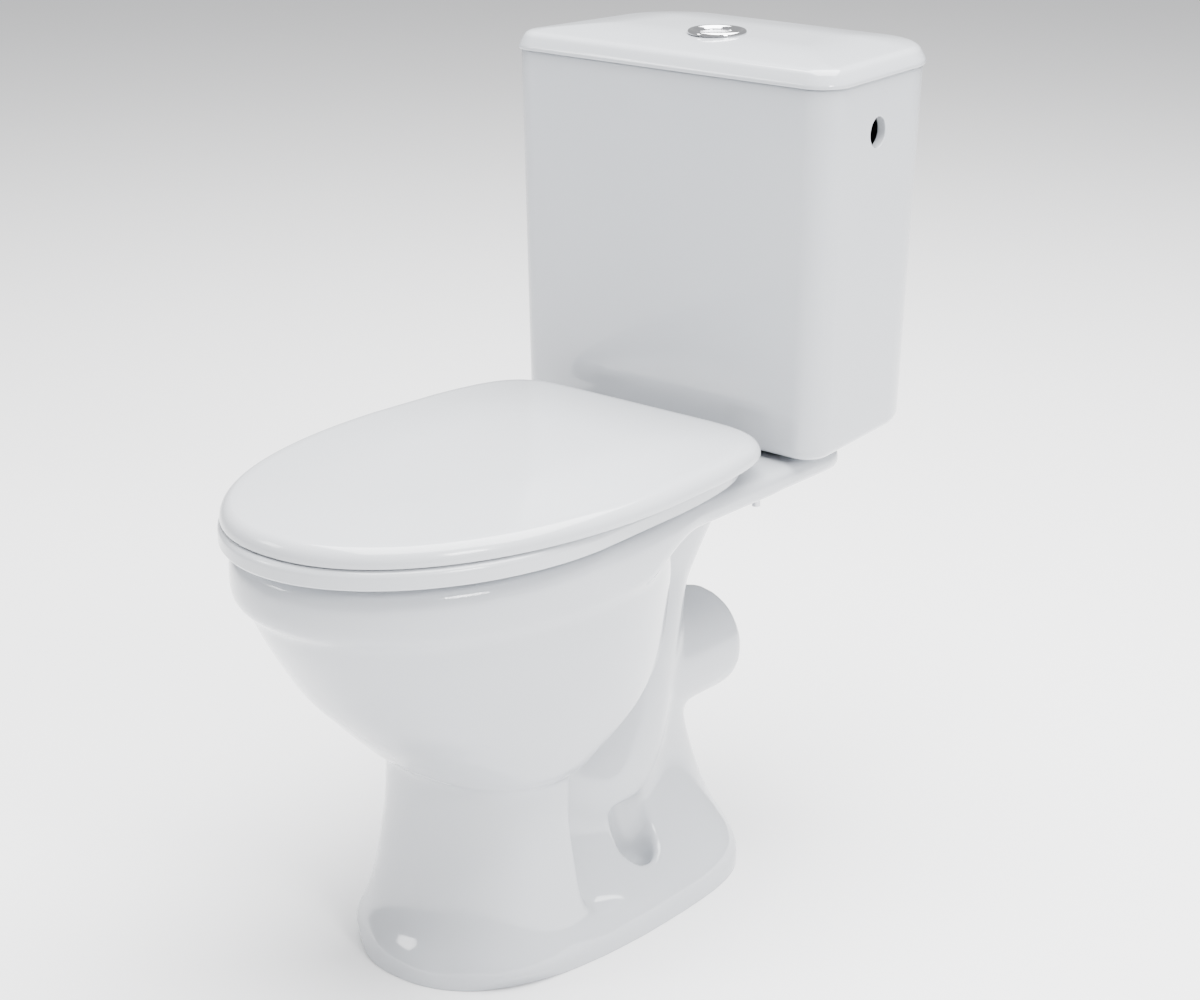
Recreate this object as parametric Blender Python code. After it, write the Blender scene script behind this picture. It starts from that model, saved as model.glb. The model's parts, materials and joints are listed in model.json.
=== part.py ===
"""Close coupled toilet: pan, cistern, seat, lid, flush works and fixings.

Frame: metres, +Z up from the floor, the bowl's nose towards -Y, the wall
towards +Y, and X = 0 is the mid-plane. Each sub-part is one named object.
"""

import math

import bmesh
import bpy
from mathutils import Matrix, Vector

# Driving dimensions (metres)
RIM_TOP = 0.398
DECK_TOP = 0.3995
DECK_UNDER = 0.377
DECK_HALF = 0.147
DECK_BACK = 0.232
BAND_HALF = 0.156
BAND_FRONT = -0.3325
BAND_WIDEST = -0.106
FOOT_HALF = 0.1165
FOOT_FRONT = -0.214
FOOT_BACK = 0.1675
FOOT_HEIGHT = 0.034
OUTLET_Z = 0.185
OUTLET_RADIUS = 0.051
OUTLET_BORE = 0.043
OUTLET_END = 0.207

CISTERN_BOTTOM = 0.404
CISTERN_TOP = 0.727
CISTERN_FRONT = 0.138
CISTERN_BACK = 0.344
CISTERN_HALF = 0.1745
CISTERN_HALF_BACK = 0.1635
CISTERN_DRAFT = 0.0065
CISTERN_WALL = 0.009
CISTERN_FLOOR = 0.416
FRONT_RADIUS = 0.025
BACK_RADIUS = 0.070
LID_OVERHANG = 0.0025
LID_EDGE_TOP = 0.739
LID_TOP = 0.7495

INLET_Y = 0.223
INLET_Z = 0.6815
INLET_RADIUS = 0.0133

BUTTON_Y = 0.2155
BUTTON_RADIUS = 0.0262
PRESS_TRAVEL = 0.007

VALVE_Y = 0.186
VALVE_BORE = 0.020

HINGE_X = 0.0775
HINGE_Y = 0.100
HINGE_Z = 0.418
SEAT_UNDER = 0.403
SEAT_TOP = 0.419
SEAT_HALF = 0.161
SEAT_FRONT = -0.3455
SEAT_BACK = 0.1003
COVER_UNDER = 0.420
COVER_HALF = 0.1697
COVER_FRONT = -0.3415
COVER_BACK = 0.118
COVER_EDGE = 0.0135

BOLT_X = 0.075
CLEAR = 0.0003
RING_POINTS = 44

PARTS = "close_coupled_toilet"
CUTTERS = "cutters"


# Scene set-up
def clear_scene():
    """Remove every object so the script can be run again."""
    for item in list(bpy.data.objects):
        bpy.data.objects.remove(item, do_unlink=True)


def collection(name):
    """Return the collection of this name, made under the scene if new."""
    found = bpy.data.collections.get(name)
    if found is None:
        found = bpy.data.collections.new(name)
        bpy.context.scene.collection.children.link(found)
    return found


def material(name, colour, roughness, metallic=0.0):
    """Return a Principled material with the part's own colour."""
    made = bpy.data.materials.new(name)
    made.use_nodes = True
    shader = made.node_tree.nodes["Principled BSDF"]
    shader.inputs["Base Color"].default_value = (*colour, 1.0)
    shader.inputs["Roughness"].default_value = roughness
    shader.inputs["Metallic"].default_value = metallic
    return made


def ceramic(name):
    """Vitreous china, white and glossy."""
    return material(name, (0.86, 0.87, 0.89), 0.12)


def thermoset(name):
    """White moulded seat plastic."""
    return material(name, (0.85, 0.86, 0.88), 0.25)


def white_plastic(name):
    """Plain white valve plastic."""
    return material(name, (0.78, 0.79, 0.78), 0.40)


def chrome(name):
    """Bright chrome plating."""
    return material(name, (0.80, 0.81, 0.83), 0.10, 1.0)


def steel(name):
    """Zinc-plated steel."""
    return material(name, (0.62, 0.62, 0.63), 0.30, 1.0)


def rubber(name):
    """Black rubber."""
    return material(name, (0.05, 0.05, 0.05), 0.75)


# Outlines and solids
def outline(half, front, back, widest, nose=2.1, tail=5.0, narrow=0.0):
    """Points of an egg-shaped plan, from the nose round to the back.

    nose and tail are the superellipse powers of the front and back halves,
    and narrow is the share of the width lost at the back edge.
    """
    points = []
    for i in range(RING_POINTS):
        turn = 2 * math.pi * i / RING_POINTS
        side, along = math.sin(turn), -math.cos(turn)
        power = nose if along < 0 else tail
        reach = (widest - front) if along < 0 else (back - widest)
        x = half * math.copysign(abs(side) ** (2 / power), side)
        step = abs(along) ** (2 / power)
        y = widest + math.copysign(reach * step, along)
        if along > 0:
            x *= 1 - narrow * step * step
        points.append((x, y))
    return points


def corner(cx, cy, radius, start, steps=6):
    """Points on a quarter circle, anticlockwise from the start angle."""
    points = []
    for i in range(steps + 1):
        turn = math.radians(start + 90 * i / steps)
        points.append((cx + radius * math.cos(turn), cy + radius * math.sin(turn)))
    return points


def rounded_plan(front, back, half_front, half_back, r_front, r_back):
    """A plan with flat front and back, and its own radius at each end."""
    right = corner(half_front - r_front, front + r_front, r_front, -90)
    right += corner(half_back - r_back, back - r_back, r_back, 0)
    left = [(-x, y) for x, y in reversed(right)]
    return right + left


def new_object(name, mesh, finish, group=PARTS):
    """Link a mesh as a named object with its own material."""
    made = bpy.data.objects.new(name, mesh)
    if finish is not None:
        mesh.materials.append(finish)
    collection(group).objects.link(made)
    if group == CUTTERS:
        made.hide_render = True
        made.display_type = "WIRE"
    return made


def mesh_from(name, build):
    """Make a mesh with outward normals from a function that fills a bmesh."""
    work = bmesh.new()
    build(work)
    bmesh.ops.recalc_face_normals(work, faces=work.faces)
    mesh = bpy.data.meshes.new(name)
    work.to_mesh(mesh)
    work.free()
    return mesh


def loft(name, sections, finish=None, group=PARTS):
    """Skin a stack of (height, outline) sections into a closed solid."""

    def build(work):
        rings = []
        for height, points in sections:
            ring = [work.verts.new((x, y, height)) for x, y in points]
            rings.append(ring)
        for low, high in zip(rings, rings[1:]):
            for i in range(len(low)):
                j = (i + 1) % len(low)
                work.faces.new((low[i], low[j], high[j], high[i]))
        work.faces.new(rings[0])
        work.faces.new(rings[-1])

    return new_object(name, mesh_from(name, build), finish, group)


def cylinder(name, radius, low, high, finish=None, group=PARTS, axis="Z", sides=24, top=None):
    """A round bar or cone between two points on a line along one axis."""
    low, high = Vector(low), Vector(high)
    length = (high - low).length
    turn = {"Z": Matrix(), "X": Matrix.Rotation(math.pi / 2, 4, "Y")}
    turn["Y"] = Matrix.Rotation(-math.pi / 2, 4, "X")
    place = Matrix.Translation((low + high) / 2) @ turn[axis]

    def build(work):
        bmesh.ops.create_cone(
            work,
            cap_ends=True,
            segments=sides,
            radius1=radius,
            radius2=radius if top is None else top,
            depth=length,
            matrix=place,
        )

    return new_object(name, mesh_from(name, build), finish, group)


def box(name, low, high, finish=None, group=PARTS):
    """A plain box between two corners."""
    low, high = Vector(low), Vector(high)
    place = Matrix.Translation((low + high) / 2) @ Matrix.Diagonal((*(high - low), 1))

    def build(work):
        bmesh.ops.create_cube(work, size=1.0, matrix=place)

    return new_object(name, mesh_from(name, build), finish, group)


def turned(name, profile, centre, finish=None, group=PARTS, sides=32):
    """A turned solid: a closed (radius, height) profile spun about Z."""

    def build(work):
        points = [work.verts.new((r, 0, z)) for r, z in profile]
        edges = [work.edges.new((points[i - 1], points[i])) for i in range(len(points))]
        bmesh.ops.spin(
            work,
            geom=points + edges,
            cent=(0, 0, 0),
            axis=(0, 0, 1),
            angle=2 * math.pi,
            steps=sides,
            use_merge=True,
        )
        bmesh.ops.remove_doubles(work, verts=work.verts, dist=1e-6)
        bmesh.ops.translate(work, verts=work.verts, vec=centre)

    return new_object(name, mesh_from(name, build), finish, group)


def ring(name, outer, inner, low, high, centre, finish=None, group=PARTS, sides=32):
    """A flat washer or tube with a square section, standing on Z."""
    profile = [(inner, low), (outer, low), (outer, high), (inner, high)]
    return turned(name, profile, (*centre, 0), finish, group, sides)


def combine(target, tool, operation):
    """Add an exact Boolean of the tool to the target."""
    step = target.modifiers.new(f"{operation.lower()}_{tool.name}", "BOOLEAN")
    step.operation = operation
    step.solver = "EXACT"
    step.object = tool


def cut(target, *tools):
    """Take each tool away from the target."""
    for tool in tools:
        combine(target, tool, "DIFFERENCE")


def join(target, *tools):
    """Add each tool to the target."""
    for tool in tools:
        combine(target, tool, "UNION")


def swept_tube(name, path, radius, steps=5, round_steps=5):
    """A round bar along a smooth path, welded into a closed cutter."""
    curve = bpy.data.curves.new(name, "CURVE")
    curve.dimensions = "3D"
    curve.bevel_depth = radius
    curve.bevel_resolution = round_steps
    curve.resolution_u = steps
    curve.use_fill_caps = True
    spline = curve.splines.new("BEZIER")
    spline.bezier_points.add(len(path) - 1)
    for point, place in zip(spline.bezier_points, path):
        point.co = place
        point.handle_left_type = "AUTO"
        point.handle_right_type = "AUTO"
    holder = bpy.data.objects.new(name + "_curve", curve)
    collection(CUTTERS).objects.link(holder)
    bpy.context.view_layer.update()
    mesh = bpy.data.meshes.new_from_object(holder)
    bpy.data.objects.remove(holder, do_unlink=True)
    work = bmesh.new()
    work.from_mesh(mesh)
    bmesh.ops.remove_doubles(work, verts=work.verts, dist=1e-5)
    bmesh.ops.recalc_face_normals(work, faces=work.faces)
    work.to_mesh(mesh)
    work.free()
    return new_object(name, mesh, None, CUTTERS)


def hang(name, point, *items):
    """Parent items to an empty that stands on their joint's axis."""
    pivot = bpy.data.objects.new(name, None)
    pivot.empty_display_size = 0.02
    pivot.location = point
    collection(PARTS).objects.link(pivot)
    for item in items:
        item.parent = pivot
        item.matrix_parent_inverse = Matrix.Translation(-Vector(point))
    return pivot


# Pan
def band_sections():
    """The rim's deep outer band, its underside sweeping up to the deck."""

    def level(height, half, front, back):
        return height, outline(half, front, back, BAND_WIDEST, 2.06, 6.0, 0.05)

    return [
        level(0.3530, 0.1490, -0.3235, -0.0340),
        level(0.3575, 0.1545, -0.3310, -0.0220),
        level(0.3660, BAND_HALF, BAND_FRONT, -0.0080),
        level(0.3780, BAND_HALF, BAND_FRONT, 0.0220),
        level(0.3850, BAND_HALF, BAND_FRONT, 0.0500),
        level(0.3930, 0.1555, -0.3318, 0.0600),
        level(0.3965, 0.1530, -0.3290, 0.0600),
        level(RIM_TOP, 0.1490, -0.3240, 0.0600),
    ]


def bowl_sections():
    """The bowl's outside and the front column under it."""

    def level(height, half, front, back, tail=2.0, nose=2.1):
        return height, outline(half, front, back, BAND_WIDEST, nose, tail)

    return [
        level(0.0300, 0.0984, -0.1896, -0.0600, 6.0, 2.4),
        level(0.0500, 0.0954, -0.1876, -0.0660, 6.0, 2.4),
        level(0.0840, 0.0915, -0.1812, -0.0720, 6.0, 2.4),
        level(0.1400, 0.0866, -0.1719, -0.0760, 6.0, 2.4),
        level(0.1740, 0.0915, -0.1755, -0.0730, 5.2, 2.3),
        level(0.1840, 0.1035, -0.1880, -0.0700, 4.6, 2.3),
        level(0.2000, 0.1110, -0.2040, -0.0400, 4.0, 2.3),
        level(0.2170, 0.1195, -0.2245, 0.0200, 2.8, 2.2),
        level(0.2330, 0.1262, -0.2413, 0.0600, 2.2),
        level(0.2560, 0.1350, -0.2640, 0.0800),
        level(0.2900, 0.1422, -0.2885, 0.0820),
        level(0.3310, 0.1484, -0.3134, 0.0800),
        level(0.3450, 0.1500, -0.3199, 0.0760),
        level(0.3560, 0.1515, -0.3250, 0.0700),
        level(0.3790, 0.1515, -0.3250, 0.0700),
    ]


def trap_sections():
    """The trap body on the mid-plane and the neck up to the deck."""

    def level(height, half, front, back):
        return height, outline(half, front, back, 0.020, 4.0, 4.0)

    return [
        level(0.0280, 0.0540, -0.1100, 0.1620),
        level(0.0450, 0.0480, -0.1100, 0.1590),
        level(0.0800, 0.0470, -0.1100, 0.1550),
        level(0.1180, 0.0480, -0.1100, 0.1430),
        level(0.1850, 0.0500, -0.1100, 0.1410),
        level(0.2360, 0.0500, -0.1000, 0.1420),
        level(0.2620, 0.0500, -0.0600, 0.1490),
        level(0.2990, 0.0500, -0.0400, 0.1760),
        level(0.3300, 0.0520, -0.0300, 0.2000),
        level(0.3600, 0.0560, -0.0200, 0.2120),
        level(0.3840, 0.0620, -0.0100, 0.2170),
    ]


def foot_sections():
    """The foot plate, with a soft top edge."""

    def level(height, inset):
        half = FOOT_HALF - inset
        front, back = FOOT_FRONT + inset, FOOT_BACK - inset
        return height, outline(half, front, back, -0.003, 2.36, 4.0, 0.05)

    return [
        level(0.0, 0.0),
        level(0.020, 0.001),
        level(0.029, 0.003),
        level(FOOT_HEIGHT, 0.008),
    ]


def deck_sections():
    """The flat deck that carries the cistern and the seat hinges."""

    def level(height, inset):
        return height, rounded_plan(
            -0.060 + inset,
            DECK_BACK - inset,
            0.150 - inset,
            DECK_HALF - inset,
            0.030,
            0.030,
        )

    return [
        level(DECK_UNDER, 0.005),
        level(0.380, 0.001),
        level(0.384, 0.0),
        level(0.396, 0.0),
        level(0.3985, 0.001),
        level(DECK_TOP, 0.003),
    ]


def bowl_cavity():
    """The bowl's inside, with the undercut below the rim's lip."""

    def level(height, half, front, back, tail=2.6):
        widest = front + 0.56 * (back - front)
        return height, outline(half, front, back, widest, 2.1, tail)

    return loft(
        "cut_bowl",
        [
            level(0.1250, 0.0220, -0.0900, -0.0250),
            level(0.1500, 0.0280, -0.1150, -0.0180),
            level(0.1800, 0.0310, -0.1400, -0.0150),
            level(0.2000, 0.0360, -0.1550, -0.0180),
            level(0.2170, 0.0520, -0.1740, -0.0100),
            level(0.2330, 0.0660, -0.1940, 0.0200),
            level(0.2560, 0.0800, -0.2200, 0.0280),
            level(0.2900, 0.0980, -0.2440, 0.0200),
            level(0.3310, 0.1160, -0.2700, 0.0020),
            level(0.3480, 0.1300, -0.2900, 0.0020),
            level(0.3600, 0.1320, -0.3050, 0.0020),
            level(0.3640, 0.1090, -0.2880, -0.0260),
            level(0.3950, 0.1070, -0.2860, -0.0280),
            level(0.4100, 0.1090, -0.2880, -0.0260),
        ],
        group=CUTTERS,
    )


def rim_channel():
    """The flushing channel inside the rim, open below."""
    outside = outline(0.144, -0.3200, 0.0020, BAND_WIDEST, 2.06, 4.0, 0.05)
    inside = outline(0.1200, -0.3000, -0.0150, -0.130, 2.1, 3.0)
    lower, upper = 0.3560, 0.3860

    def build(work):
        loops = []
        for points, height in ((outside, lower), (outside, upper), (inside, upper), (inside, lower)):
            loops.append([work.verts.new((x, y, height)) for x, y in points])
        for i in range(4):
            here, there = loops[i], loops[(i + 1) % 4]
            for a in range(RING_POINTS):
                b = (a + 1) % RING_POINTS
                work.faces.new((here[a], here[b], there[b], there[a]))

    return new_object("cut_rim_channel", mesh_from("cut_rim_channel", build), None, CUTTERS)


def hollow_foot():
    """The spaces under the foot plate, the front column and the trap."""
    plate = outline(0.104, -0.2010, 0.1550, -0.003, 2.36, 4.0, 0.05)
    column = outline(0.078, -0.1600, -0.0900, -0.115, 2.4, 5.0)
    trap = outline(0.034, -0.0700, 0.1300, 0.030, 4.0, 4.0)
    return [
        loft("cut_plate", [(-0.010, plate), (0.022, plate)], group=CUTTERS),
        loft("cut_column", [(0.015, column), (0.085, column)], group=CUTTERS),
        loft("cut_under_trap", [(0.014, trap), (0.070, trap)], group=CUTTERS),
    ]


def trap_passage():
    """The waterway from the sump over the weir to the outlet bore."""
    route = [
        (0, -0.060, 0.165),
        (0, -0.010, 0.127),
        (0, 0.040, 0.145),
        (0, 0.070, 0.190),
        (0, 0.105, 0.226),
        (0, 0.140, 0.200),
        (0, 0.175, 0.186),
    ]
    return swept_tube("cut_trapway", route, 0.0265)


def deck_holes():
    """Holes for the flush pipe, the cistern bolts and the seat hinges."""
    tools = [
        cylinder("cut_gasket_seat", 0.038, (0, VALVE_Y, 0.383), (0, VALVE_Y, 0.42), group=CUTTERS),
        cylinder("cut_flush_drop", 0.026, (0, VALVE_Y, 0.336), (0, VALVE_Y, 0.39), group=CUTTERS),
        cylinder(
            "cut_flush_run", 0.0135, (0, -0.030, 0.3515), (0, VALVE_Y, 0.3515), group=CUTTERS, axis="Y",
        ),
    ]
    for side, sign in (("r", 1), ("l", -1)):
        for use, x, y, radius in (
            ("bolt", BOLT_X, VALVE_Y, 0.0055),
            ("hinge", HINGE_X, HINGE_Y, 0.0065),
        ):
            low, high = (sign * x, y, 0.35), (sign * x, y, 0.42)
            tools.append(cylinder(f"cut_{use}_{side}", radius, low, high, group=CUTTERS, sides=24))
        low, high = (sign * 0.066, 0.020, 0.010), (sign * 0.066, 0.020, 0.060)
        tools.append(cylinder(f"cut_floor_screw_{side}", 0.004, low, high, group=CUTTERS, sides=24))
    return tools


def build_pan():
    """The pan: one fired piece with bowl, rim, trapway, outlet and foot."""
    pan = loft("pan", foot_sections(), ceramic("pan_glaze"))
    join(
        pan,
        loft("add_trap", trap_sections(), group=CUTTERS),
        loft("add_bowl", bowl_sections(), group=CUTTERS),
        loft("add_band", band_sections(), group=CUTTERS),
        loft("add_deck", deck_sections(), group=CUTTERS),
        turned_outlet(),
    )
    cut(pan, bowl_cavity(), rim_channel(), *hollow_foot())
    cut(pan, trap_passage(), outlet_bore(), *deck_holes())
    return pan


def turned_outlet():
    """The round spigot that takes the pan connector."""
    low, high = (0, 0.100, OUTLET_Z), (0, OUTLET_END, OUTLET_Z)
    return cylinder("add_outlet", OUTLET_RADIUS, low, high, group=CUTTERS, axis="Y", sides=40)


def outlet_bore():
    """The spigot's open bore."""
    low, high = (0, 0.158, OUTLET_Z), (0, OUTLET_END + 0.02, OUTLET_Z)
    return cylinder("cut_outlet", OUTLET_BORE, low, high, group=CUTTERS, axis="Y", sides=40)


# Cistern
def cistern_plan(height, inset=0.0):
    """The cistern's plan at a height: narrower lower down, back sloping in."""
    drop = (CISTERN_TOP - height) / (CISTERN_TOP - CISTERN_BOTTOM)
    draft = CISTERN_DRAFT * drop
    return rounded_plan(
        CISTERN_FRONT + 0.002 * drop + inset,
        CISTERN_BACK - 0.010 * drop - inset,
        CISTERN_HALF - draft - inset,
        CISTERN_HALF_BACK - draft - inset,
        FRONT_RADIUS - min(inset, 0.017),
        BACK_RADIUS - inset,
    )


def build_cistern():
    """The cistern body: a deep open box with a rounded lower edge."""
    levels = [
        (CISTERN_BOTTOM, 0.010),
        (0.4065, 0.005),
        (0.411, 0.0015),
        (0.417, 0.0),
        (0.570, 0.0),
        (CISTERN_TOP, 0.0),
    ]
    body = loft(
        "cistern_body",
        [(z, cistern_plan(z, inset)) for z, inset in levels],
        ceramic("cistern_glaze"),
    )
    inside = [
        (CISTERN_FLOOR, CISTERN_WALL + 0.006),
        (0.424, CISTERN_WALL),
        (CISTERN_TOP + 0.01, CISTERN_WALL),
    ]
    cut(
        body,
        loft("cut_tank", [(z, cistern_plan(z, gap)) for z, gap in inside], group=CUTTERS),
        cylinder("cut_valve", 0.0255, (0, VALVE_Y, 0.39), (0, VALVE_Y, 0.43), group=CUTTERS),
        cylinder(
            "cut_inlets",
            INLET_RADIUS,
            (-0.2, INLET_Y, INLET_Z),
            (0.2, INLET_Y, INLET_Z),
            group=CUTTERS,
            axis="X",
        ),
    )
    for side, sign in (("r", 1), ("l", -1)):
        low, high = (sign * BOLT_X, VALVE_Y, 0.39), (sign * BOLT_X, VALVE_Y, 0.43)
        cut(body, cylinder(f"cut_tank_bolt_{side}", 0.0055, low, high, group=CUTTERS, sides=24))
    return body


def build_cistern_lid():
    """The lift-off lid, with a locating skirt inside the cistern."""
    bottom = CISTERN_TOP + CLEAR
    crown = [
        (bottom, -LID_OVERHANG),
        (LID_EDGE_TOP, -LID_OVERHANG),
        (0.7425, -LID_OVERHANG + 0.001),
        (0.7455, 0.001),
        (0.7475, 0.008),
        (0.7488, 0.024),
        (LID_TOP, 0.050),
    ]
    lid = loft(
        "cistern_lid",
        [(z, cistern_plan(CISTERN_TOP, inset)) for z, inset in crown],
        ceramic("lid_glaze"),
    )
    skirt = [(0.715, cistern_plan(CISTERN_TOP, 0.0115)), (0.735, cistern_plan(CISTERN_TOP, 0.0115))]
    hollow = [(0.700, cistern_plan(CISTERN_TOP, 0.0185)), (0.7390, cistern_plan(CISTERN_TOP, 0.0185))]
    join(lid, loft("add_skirt", skirt, group=CUTTERS))
    low, high = (0, BUTTON_Y, 0.70), (0, BUTTON_Y, 0.77)
    cut(
        lid,
        loft("cut_lid", hollow, group=CUTTERS),
        cylinder("cut_button", 0.0215, low, high, group=CUTTERS),
    )
    return lid


# Push button
def half_disc(name, radius, low, high, keep, finish):
    """One part of the split push plate, keep = +1 or -1 for its side."""
    plate = cylinder(name, radius, (0, BUTTON_Y, low), (0, BUTTON_Y, high), finish, sides=40)
    split = 0.006
    reach = 0.05
    if keep > 0:
        blade = box(
            f"cut_{name}",
            (-reach, BUTTON_Y - reach, low - 0.01),
            (split + CLEAR, BUTTON_Y + reach, high + 0.01),
            group=CUTTERS,
        )
    else:
        blade = box(
            f"cut_{name}",
            (split - CLEAR, BUTTON_Y - reach, low - 0.01),
            (reach, BUTTON_Y + reach, high + 0.01),
            group=CUTTERS,
        )
    cut(plate, blade)
    return plate


def build_button():
    """Bezel, its nut under the lid, and the two sprung push plates."""
    bezel = turned(
        "button_bezel",
        [
            (0.0188, 0.7260),
            (0.0207, 0.7260),
            (0.0207, 0.7497),
            (BUTTON_RADIUS, 0.7497),
            (BUTTON_RADIUS, 0.7508),
            (0.0245, 0.7528),
            (0.0220, 0.7533),
            (0.0202, 0.7520),
            (0.0188, 0.7500),
        ],
        (0, BUTTON_Y, 0),
        chrome("bezel_chrome"),
        sides=48,
    )
    nut = ring(
        "button_nut", 0.0270, 0.0210, 0.7290, 0.7385, (0, BUTTON_Y), white_plastic("button_nut_plastic"),
    )
    buttons = []
    for name, keep, rod_x in (("button_full", -1, -0.0075), ("button_half", 1, 0.0115)):
        plate = half_disc(name, 0.0180, 0.7410, 0.7495, keep, chrome(f"{name}_chrome"))
        low, high = (rod_x, BUTTON_Y, 0.6485), (rod_x, BUTTON_Y, 0.7450)
        join(plate, cylinder(f"add_rod_{name}", 0.0026, low, high, group=CUTTERS, sides=12))
        buttons.append(plate)
        hang(f"{name}_axis", (rod_x, BUTTON_Y, 0.745), plate)
    return [bezel, nut] + buttons


# Flush valve
def build_flush_valve():
    """Valve base in the cistern floor, its cage and the lifting overflow."""
    centre = (0, VALVE_Y, 0)
    plastic = white_plastic
    floor = CISTERN_FLOOR
    base = turned(
        "flush_valve_base",
        [
            (VALVE_BORE, 0.3860),
            (0.0235, 0.3860),
            (0.0235, floor + 0.0028),
            (0.0310, floor + 0.0028),
            (0.0310, floor + 0.0068),
            (0.0235, floor + 0.0068),
            (0.0235, floor + 0.0140),
            (VALVE_BORE, floor + 0.0140),
        ],
        centre,
        plastic("valve_base_plastic"),
    )
    washer = ring(
        "flush_valve_washer",
        0.0300,
        0.0239,
        floor + CLEAR,
        floor + 0.0025,
        centre[:2],
        rubber("valve_washer_rubber"),
    )
    nut = ring(
        "flush_valve_nut",
        0.0305,
        0.0239,
        0.3915,
        CISTERN_BOTTOM - CLEAR,
        centre[:2],
        plastic("valve_nut_plastic"),
    )
    gasket = turned(
        "coupling_gasket",
        [(0.0325, 0.3835), (0.0372, 0.3835), (0.0372, 0.4020), (0.0360, 0.4036), (0.0325, 0.4036)],
        centre,
        rubber("gasket_sponge"),
    )
    cage = turned(
        "flush_valve_cage",
        [
            (0.0239, 0.4233),
            (0.0345, 0.4233),
            (0.0345, 0.5620),
            (0.0162, 0.5620),
            (0.0162, 0.5560),
            (0.0315, 0.5560),
            (0.0315, 0.4290),
            (0.0239, 0.4290),
        ],
        centre,
        plastic("cage_plastic"),
    )
    add_cage_details(cage)
    tube = turned(
        "overflow_tube",
        [
            (0.0130, 0.4345),
            (0.0225, 0.4345),
            (0.0225, 0.4385),
            (0.0155, 0.4385),
            (0.0155, 0.6250),
            (0.0130, 0.6250),
        ],
        centre,
        plastic("overflow_plastic"),
    )
    seal = ring("flush_seal", 0.0230, 0.0132, 0.4303, 0.4342, centre[:2], rubber("seal_rubber"))
    hang("flush_lift_axis", (0, VALVE_Y, 0.432), tube, seal)
    return [base, washer, nut, gasket, cage, tube, seal]


def add_cage_details(cage):
    """Four windows near the foot, and a raised pad under the button rods."""
    for turn in range(4):
        angle = math.radians(45 + 90 * turn)
        x, y = 0.033 * math.cos(angle), VALVE_Y + 0.033 * math.sin(angle)
        half = 0.010
        low, high = (x - half, y - half, 0.434), (x + half, y + half, 0.470)
        cut(cage, box(f"cut_window_{turn}", low, high, group=CUTTERS))
    low, high = (-0.0200, VALVE_Y + 0.0230, 0.5590), (0.0200, VALVE_Y + 0.0335, 0.6400)
    join(cage, box("add_pads", low, high, group=CUTTERS))


# Fill valve
def inlet_wall():
    """Distance from the mid-plane to the cistern's side at its inlet hole."""
    straight = (CISTERN_BACK - BACK_RADIUS) - (CISTERN_FRONT + FRONT_RADIUS)
    share = (INLET_Y - CISTERN_FRONT - FRONT_RADIUS) / straight
    drop = (CISTERN_TOP - INLET_Z) / (CISTERN_TOP - CISTERN_BOTTOM)
    return CISTERN_HALF - (CISTERN_HALF - CISTERN_HALF_BACK) * share - CISTERN_DRAFT * drop


def build_fill_valve():
    """Side-entry fill valve on the far inlet hole, with float and tube."""
    sign = -1
    plastic = white_plastic
    wall = inlet_wall()
    inner = wall - CISTERN_WALL - 0.0034
    wall += 0.0010
    shank = cylinder(
        "fill_valve_shank",
        0.0100,
        (sign * (inner - 0.030), INLET_Y, INLET_Z),
        (sign * (wall + 0.020), INLET_Y, INLET_Z),
        plastic("shank_plastic"),
        axis="X",
    )
    flange_in, flange_out = sign * (inner - 0.0075), sign * (inner - 0.0045)
    join(
        shank,
        cylinder(
            "add_flange",
            0.0185,
            (flange_in, INLET_Y, INLET_Z),
            (flange_out, INLET_Y, INLET_Z),
            group=CUTTERS,
            axis="X",
        ),
        cylinder(
            "add_head",
            0.0155,
            (sign * (inner - 0.052), INLET_Y, INLET_Z),
            (sign * (inner - 0.020), INLET_Y, INLET_Z),
            group=CUTTERS,
            axis="X",
        ),
        cylinder(
            "add_spout",
            0.0085,
            (sign * (inner - 0.028), INLET_Y, INLET_Z - 0.030),
            (sign * (inner - 0.028), INLET_Y, INLET_Z),
            group=CUTTERS,
        ),
    )
    cut(
        shank,
        cylinder(
            "cut_shank",
            0.0055,
            (sign * (inner - 0.028), INLET_Y, INLET_Z),
            (sign * (wall + 0.03), INLET_Y, INLET_Z),
            group=CUTTERS,
            axis="X",
            sides=24,
        ),
    )
    add_pivot_ears(shank, sign * (inner - 0.0600))
    washer_in, washer_out = sign * (inner - 0.0042), sign * (inner - 0.0012)
    washer = cylinder(
        "fill_valve_washer",
        0.0175,
        (washer_in, INLET_Y, INLET_Z),
        (washer_out, INLET_Y, INLET_Z),
        rubber("fill_washer_rubber"),
        axis="X",
    )
    cut(
        washer,
        cylinder(
            "cut_fill_washer",
            0.0103,
            (-0.2, INLET_Y, INLET_Z),
            (0, INLET_Y, INLET_Z),
            group=CUTTERS,
            axis="X",
        ),
    )
    nut = cylinder(
        "fill_valve_nut",
        0.0190,
        (sign * (wall + 0.0012), INLET_Y, INLET_Z),
        (sign * (wall + 0.0100), INLET_Y, INLET_Z),
        plastic("fill_nut_plastic"),
        axis="X",
        sides=6,
    )
    cut(
        nut,
        cylinder(
            "cut_fill_nut",
            0.0103,
            (-0.25, INLET_Y, INLET_Z),
            (-0.1, INLET_Y, INLET_Z),
            group=CUTTERS,
            axis="X",
        ),
    )
    tube_x = sign * (inner - 0.028)
    tube = ring(
        "fill_outlet_tube",
        0.0105,
        0.0088,
        0.4400,
        INLET_Z - 0.0180,
        (tube_x, INLET_Y),
        plastic("tube_plastic"),
        sides=24,
    )
    return [shank, washer, nut, tube] + build_float(sign * (inner - 0.0600))


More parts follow.
